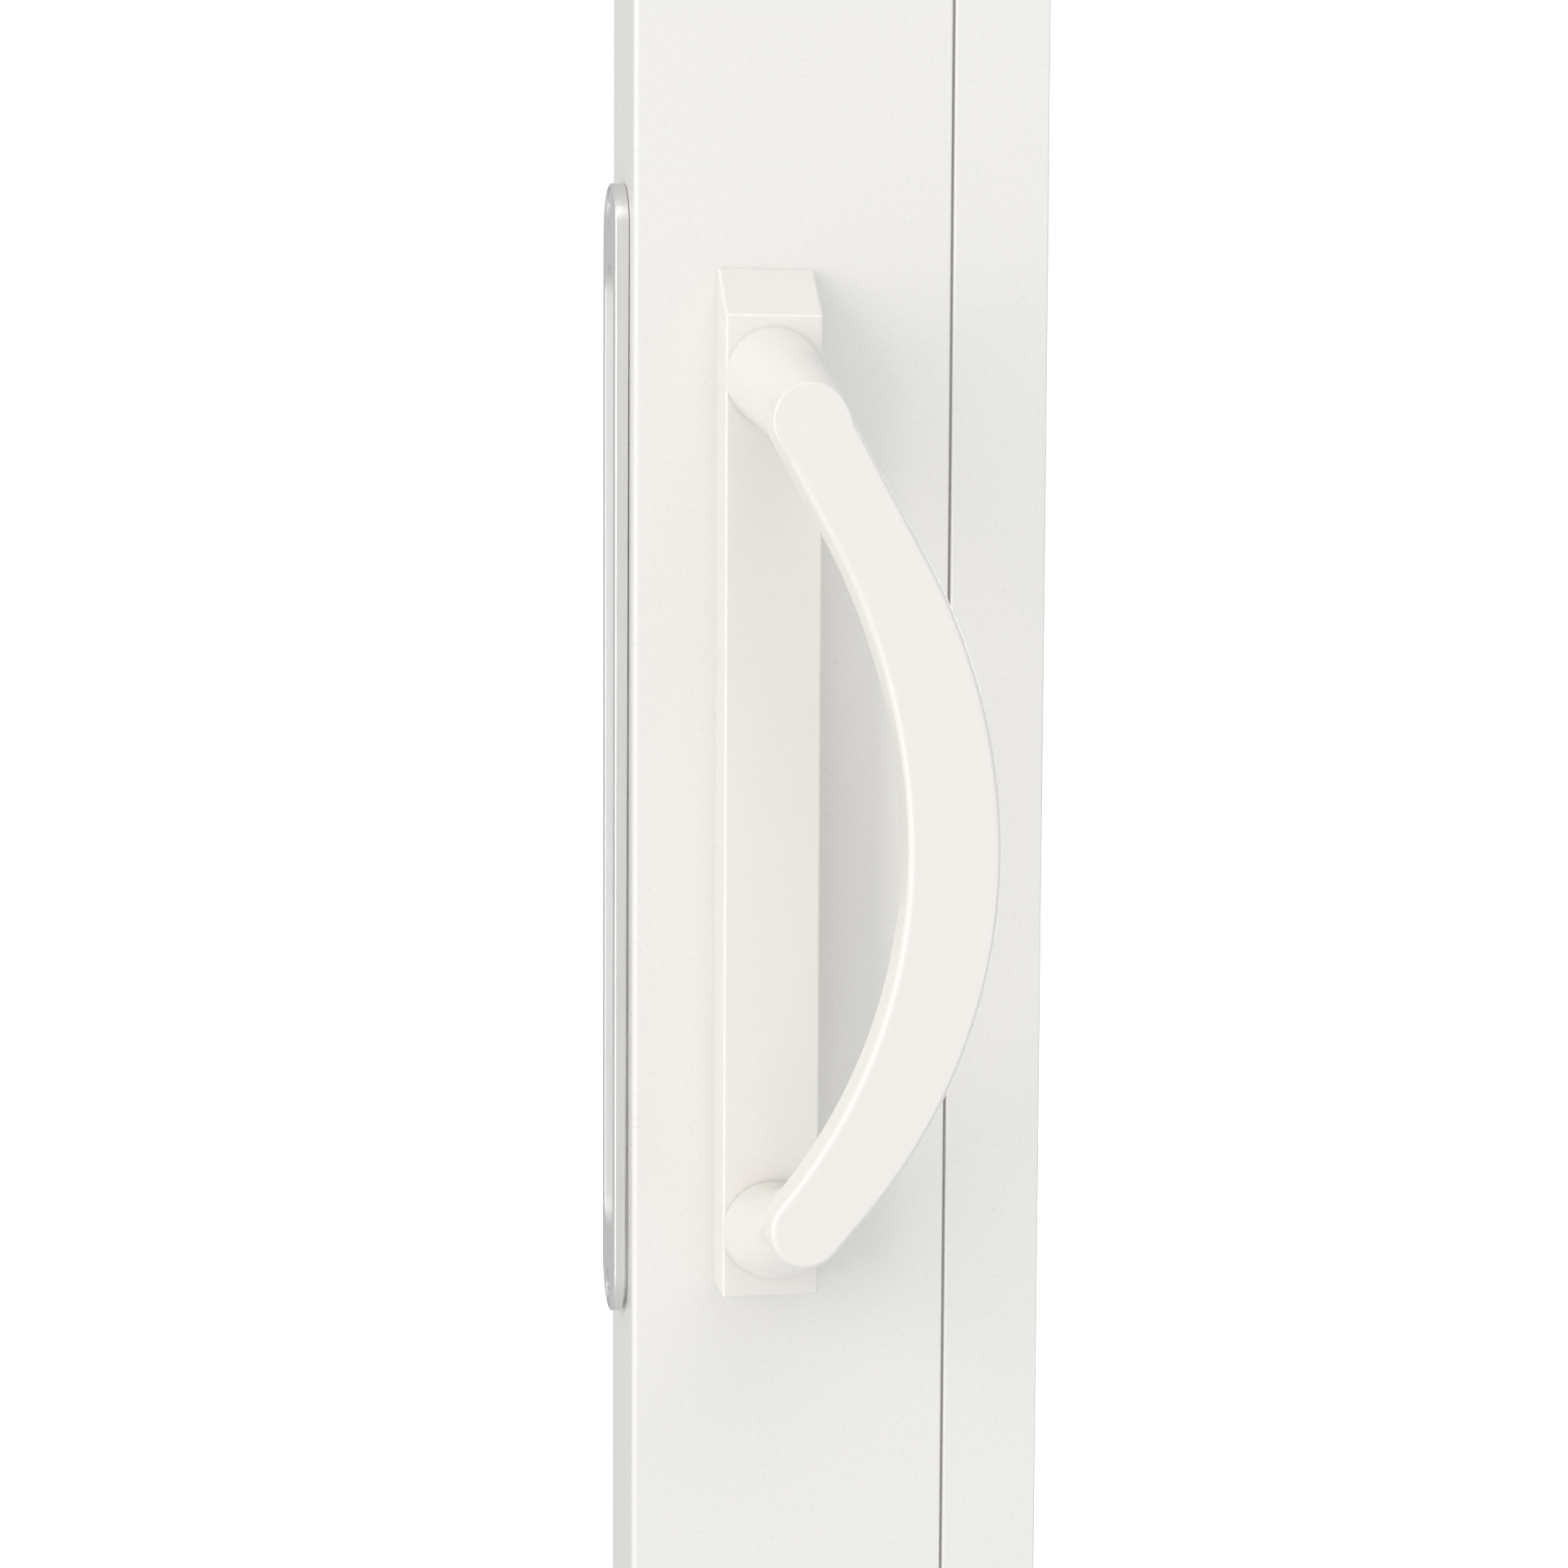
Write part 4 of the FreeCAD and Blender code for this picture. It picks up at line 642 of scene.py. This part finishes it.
piece("dished_plate", dished_plate(), "edge_plate", "sash", 32)


def oval_screw(height):
    """An oval countersunk screw with a cross recess."""
    head_radius, crown_rise, crown_place = 4 * MM, 0.6 * MM, 0.62 * MM
    thread_start, thread_turns, pitch = 3 * MM, 12, 0.7 * MM
    root_radius, crest_radius, tip = 1.6 * MM, 2 * MM, 12 * MM
    wide, narrow, thick, deep = 2.8 * MM, 1 * MM, 0.6 * MM, 2.1 * MM
    cross_turn = 0.35
    profile = [(head_radius * math.sin(a), -crown_rise * math.cos(a))
               for a in [math.pi / 2 * k / 10 for k in range(11)]]
    profile += [(head_radius, 0.12 * MM), (2 * MM, 2.1 * MM), (1.9 * MM, 2.4 * MM)]
    for turn in range(thread_turns):
        along = thread_start + turn * pitch
        profile += [(root_radius, along), (crest_radius, along + pitch / 2)]
    profile += [(1.5 * MM, tip - 0.2 * MM), (0, tip)]
    head = lathe(profile, (PLATE_OUT + crown_place, 0, height), "X", 48)
    cutters = []
    for turn in (cross_turn, cross_turn + math.pi / 2):
        bm = bmesh.new()
        rows = [(-1.5 * MM, wide, thick), (0.2 * MM, wide, thick), (deep, narrow, thick / 2)]
        loops = [[Vector((x, reach * sy, half * sz))
                  for sy, sz in ((-1, -1), (1, -1), (1, 1), (-1, 1))] for x, reach, half in rows]
        bridge(bm, loops)
        spin = Matrix.Translation((PLATE_OUT, 0, height)) @ Matrix.Rotation(turn, 4, "X")
        bmesh.ops.transform(bm, matrix=spin, verts=bm.verts)
        cutters.append(from_bmesh("recess", bm))
    return boolean("DIFFERENCE", head, cutters)


for label, height in SCREW_HEIGHTS.items():
    piece("edge_screw_" + label, oval_screw(height), "edge_plate_screws", "sash", 35)


# ---------------------------------------------------------------- beads, gaskets and seals

def joined(*meshes):
    """Several closed solids as one mesh."""
    bm = bmesh.new()
    for mesh in meshes:
        bm.from_mesh(mesh)
    return from_bmesh("joined", bm)


SEAM_DEPTH = 2.4 * MM
SEAM_WIDTH = 0.68 * MM


def glazing_bead(node, axis, way):
    """A snap-in bead with rounded edges; its snap leg closes the bottom of the seam."""
    edge_round, leg_inset = 0.7 * MM, 1 * MM
    low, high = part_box(node)
    bar = beveled_box(low, high, edge_round, 4)
    leg_low = low + Vector((leg_inset, SEAM_DEPTH, leg_inset))
    leg_high = high - Vector((leg_inset, leg_inset, leg_inset))
    if way < 0:
        leg_low[axis] = low[axis] - SEAM_WIDTH
    else:
        leg_high[axis] = high[axis] + SEAM_WIDTH
    leg = beveled_box(leg_low, leg_high, 0)
    piece(node + "_bar", joined(bar, leg), node, "sash", 35)


for node, axis, way in (("left_bead", 0, -1), ("right_bead", 0, 1),
                        ("bottom_bead", 2, -1), ("top_bead", 2, 1)):
    glazing_bead(node, axis, way)

SIGHT_X = (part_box("left_bead")[1].x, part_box("right_bead")[0].x)
SIGHT_Z = (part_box("bottom_bead")[1].z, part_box("top_bead")[0].z)


def swept_ring(profile):
    """A mitred ring round the sight opening from (outward offset, y) points."""
    bm = bmesh.new()
    corners = [(SIGHT_X[0], SIGHT_Z[0], -1, -1), (SIGHT_X[1], SIGHT_Z[0], 1, -1),
               (SIGHT_X[1], SIGHT_Z[1], 1, 1), (SIGHT_X[0], SIGHT_Z[1], -1, 1)]
    rings = [[bm.verts.new((x + sx * out, y, z + sz * out)) for out, y in profile]
             for x, z, sx, sz in corners]
    for index, ring in enumerate(rings):
        following = rings[(index + 1) % len(rings)]
        for k in range(len(profile)):
            after = (k + 1) % len(profile)
            bm.faces.new((ring[k], ring[after], following[after], following[k]))
    return from_bmesh("ring", bm)


def gasket_profile(low_y, high_y, glass_side):
    """A wedge gasket: a flat base against the frame and a round lip at the sight line."""
    lip_base, lip_reach, back = 0.9 * MM, 1.3 * MM, 5.8 * MM
    middle, half = (low_y + high_y) / 2, (high_y - low_y) / 2
    lip = [(lip_base - lip_reach * math.sin(a), middle - glass_side * half * math.cos(a))
           for a in [math.pi * k / 10 for k in range(11)]]
    return lip + [(back, middle + glass_side * half), (back, middle - glass_side * half)]


for node, glass_side in (("inner_gasket", 1), ("outer_gasket", -1)):
    low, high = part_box(node)
    piece(node + "_lip", swept_ring(gasket_profile(low.y, high.y, glass_side)), node, "sash", 50)


def pile_strip(node, rows, axis, way):
    """A woven backing with rows of fine tufts standing on it."""
    low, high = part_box(node)
    across = 1 - axis
    backing, backing_round = 0.8 * MM, 0.15 * MM
    spacing, tuft_half, tip_scale, fill = 1.1 * MM, 0.45 * MM, 0.75, 0.42
    lean_reach, height_spread = 0.35 * MM, 0.06
    base_low, base_high = low.copy(), high.copy()
    if way > 0:
        base_high[axis] = low[axis] + backing
    else:
        base_low[axis] = high[axis] - backing
    parts = [beveled_box(base_low, base_high, backing_round, 1)]
    bm = bmesh.new()
    count = int((high.z - low.z) / spacing)
    for row in range(rows):
        centre = low[across] + (high[across] - low[across]) * (row + 0.5) / rows
        for k in range(count):
            z = low.z + spacing * (k + 0.5 + 0.3 * (row % 2))
            lean = lean_reach * math.sin(12.9 * k + 4.1 * row)
            tall = 1 - height_spread * (1 + math.sin(7.7 * k + 2.3 * row))
            root = (base_high if way > 0 else base_low)[axis]
            end = root + ((high[axis] - root) if way > 0 else (low[axis] - root)) * tall
            half_wide = (high[across] - low[across]) / rows * fill
            loops = []
            for level, size, slip in ((root, 1.0, 0.0), (end, tip_scale, lean)):
                loop = []
                for sa, sz in ((-1, -1), (1, -1), (1, 1), (-1, 1)):
                    point = Vector((0, 0, z + sz * tuft_half * size + slip))
                    point[axis] = level
                    point[across] = centre + sa * half_wide * size
                    loop.append(point)
                loops.append(loop)
            bridge(bm, loops)
    parts.append(from_bmesh("tufts", bm))
    piece(node + "_brush", joined(*parts), node, "sash", 30)


pile_strip("edge_pile_seal", 3, 1, 1)
pile_strip("interlock_pile_seal", 2, 0, -1)


# ---------------------------------------------------------------- camera

CAMERA_PLACE = (-0.0881, -0.66727, 0.49792)
LENS = 60.764               # millimetres, on a 36 mm sensor
SHIFT_X, SHIFT_Y = 0.01939, -0.08
yaw, pitch, roll = math.radians(10.358), math.radians(3.671), math.radians(0.245)

forward = Vector((math.sin(yaw) * math.cos(pitch), math.cos(yaw) * math.cos(pitch),
                  -math.sin(pitch)))
level_right = Vector((math.cos(yaw), -math.sin(yaw), 0))
level_up = level_right.cross(forward)
right = level_right * math.cos(roll) + level_up * math.sin(roll)
up = level_up * math.cos(roll) - level_right * math.sin(roll)

camera_data = bpy.data.cameras.new("camera")
camera_data.sensor_width = 36
camera_data.lens = LENS
camera_data.shift_x, camera_data.shift_y = SHIFT_X, SHIFT_Y
camera_data.clip_start, camera_data.clip_end = 0.01, 100
camera = bpy.data.objects.new("camera", camera_data)
bpy.context.scene.collection.objects.link(camera)
camera.matrix_world = Matrix((
    (right.x, up.x, -forward.x, CAMERA_PLACE[0]),
    (right.y, up.y, -forward.y, CAMERA_PLACE[1]),
    (right.z, up.z, -forward.z, CAMERA_PLACE[2]),
    (0, 0, 0, 1),
))
bpy.context.scene.camera = camera


# ---------------------------------------------------------------- studio

def studio_surface(name, glow, color):
    """A plain pale surface that glows a little, so that it stays white."""
    n = Nodes(name)
    shader = n.principled(Base_Color=(*color, 1), Roughness=0.9, Emission_Color=(1, 1, 1, 1),
                          Emission_Strength=glow)
    n.link(n.bump(n.noise(3, 2), 0.05, 1 * MM), shader.inputs["Normal"])
    return n.material


STUDIO_RADIUS, STUDIO_LOW, STUDIO_HIGH = 12.0, -0.5, 14.0
STUDIO_SEGMENTS = 96
SASH_MIDDLE_X = 0.3
WORLD_LEVEL = 0.67
WORLD_SLANT = (-0.16, -0.17, 0.04)   # how much brighter the light is along x, y and z

bm = bmesh.new()
bmesh.ops.create_circle(bm, cap_ends=True, segments=STUDIO_SEGMENTS, radius=STUDIO_RADIUS,
                        matrix=Matrix.Translation((SASH_MIDDLE_X, 0, 0)))
floor = bpy.data.objects.new("studio_floor", from_bmesh("studio_floor", bm))
floor.data.materials.append(studio_surface("floor_white", 0.62, (0.8, 0.8, 0.8)))

bm = bmesh.new()
bearings = [2 * math.pi * k / STUDIO_SEGMENTS for k in range(STUDIO_SEGMENTS)]
rings = [[Vector((SASH_MIDDLE_X + STUDIO_RADIUS * math.cos(a), STUDIO_RADIUS * math.sin(a), z))
          for a in bearings] for z in (STUDIO_LOW, STUDIO_HIGH)]
bridge(bm, rings, closed=False)
backdrop = bpy.data.objects.new("studio_backdrop", from_bmesh("studio_backdrop", bm))
backdrop.data.materials.append(studio_surface("backdrop_white", 1.1, ALL_BLACK))

for item in (floor, backdrop):
    item.visible_diffuse = item.visible_glossy = item.visible_shadow = False
    bpy.context.scene.collection.objects.link(item)
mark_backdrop(floor, backdrop)

# Light from all round, stronger from the side that the slant points to.
world = bpy.data.worlds.new("studio")
world.use_nodes = True
tree = world.node_tree
background = tree.nodes["Background"]
background.inputs["Color"].default_value = (0.985, 0.995, 1.0, 1)
direction = tree.nodes.new("ShaderNodeTexCoord").outputs["Generated"]
slant = tree.nodes.new("ShaderNodeVectorMath")
slant.operation = "DOT_PRODUCT"
slant.inputs[1].default_value = WORLD_SLANT
level = tree.nodes.new("ShaderNodeMath")
level.inputs[1].default_value = WORLD_LEVEL
tree.links.new(direction, slant.inputs[0])
tree.links.new(slant.outputs["Value"], level.inputs[0])
tree.links.new(level.outputs["Value"], background.inputs["Strength"])
bpy.context.scene.world = world


AIM = (0.06, 0, 0.45)


def soft_light(name, place, width, height, power, color):
    """A soft rectangular light that faces the handle."""
    data = bpy.data.lights.new(name, "AREA")
    data.shape = "RECTANGLE"
    data.size, data.size_y = width, height
    data.energy = power
    data.color = color
    light = bpy.data.objects.new(name, data)
    bpy.context.scene.collection.objects.link(light)
    light.location = place
    light.rotation_mode = "QUATERNION"
    light.rotation_quaternion = (Vector(AIM) - Vector(place)).to_track_quat("-Z", "Y")


soft_light("key_strip", (-2.35, -1.5, 0.75), 0.6, 3.2, 26, (1.0, 0.955, 0.89))
soft_light("cool_fill", (1.7, -1.9, -0.5), 1.2, 1.2, 4, (0.86, 0.95, 1.0))
soft_light("top_front", (0.35, -1.5, 2.1), 1.2, 0.6, 5, (1.0, 0.98, 0.95))
soft_light("back_fill", (1.6, 2.4, 1.3), 1.6, 1.6, 22, (1.0, 1.0, 1.0))

bpy.context.scene.view_settings.view_transform = "Standard"

low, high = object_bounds()
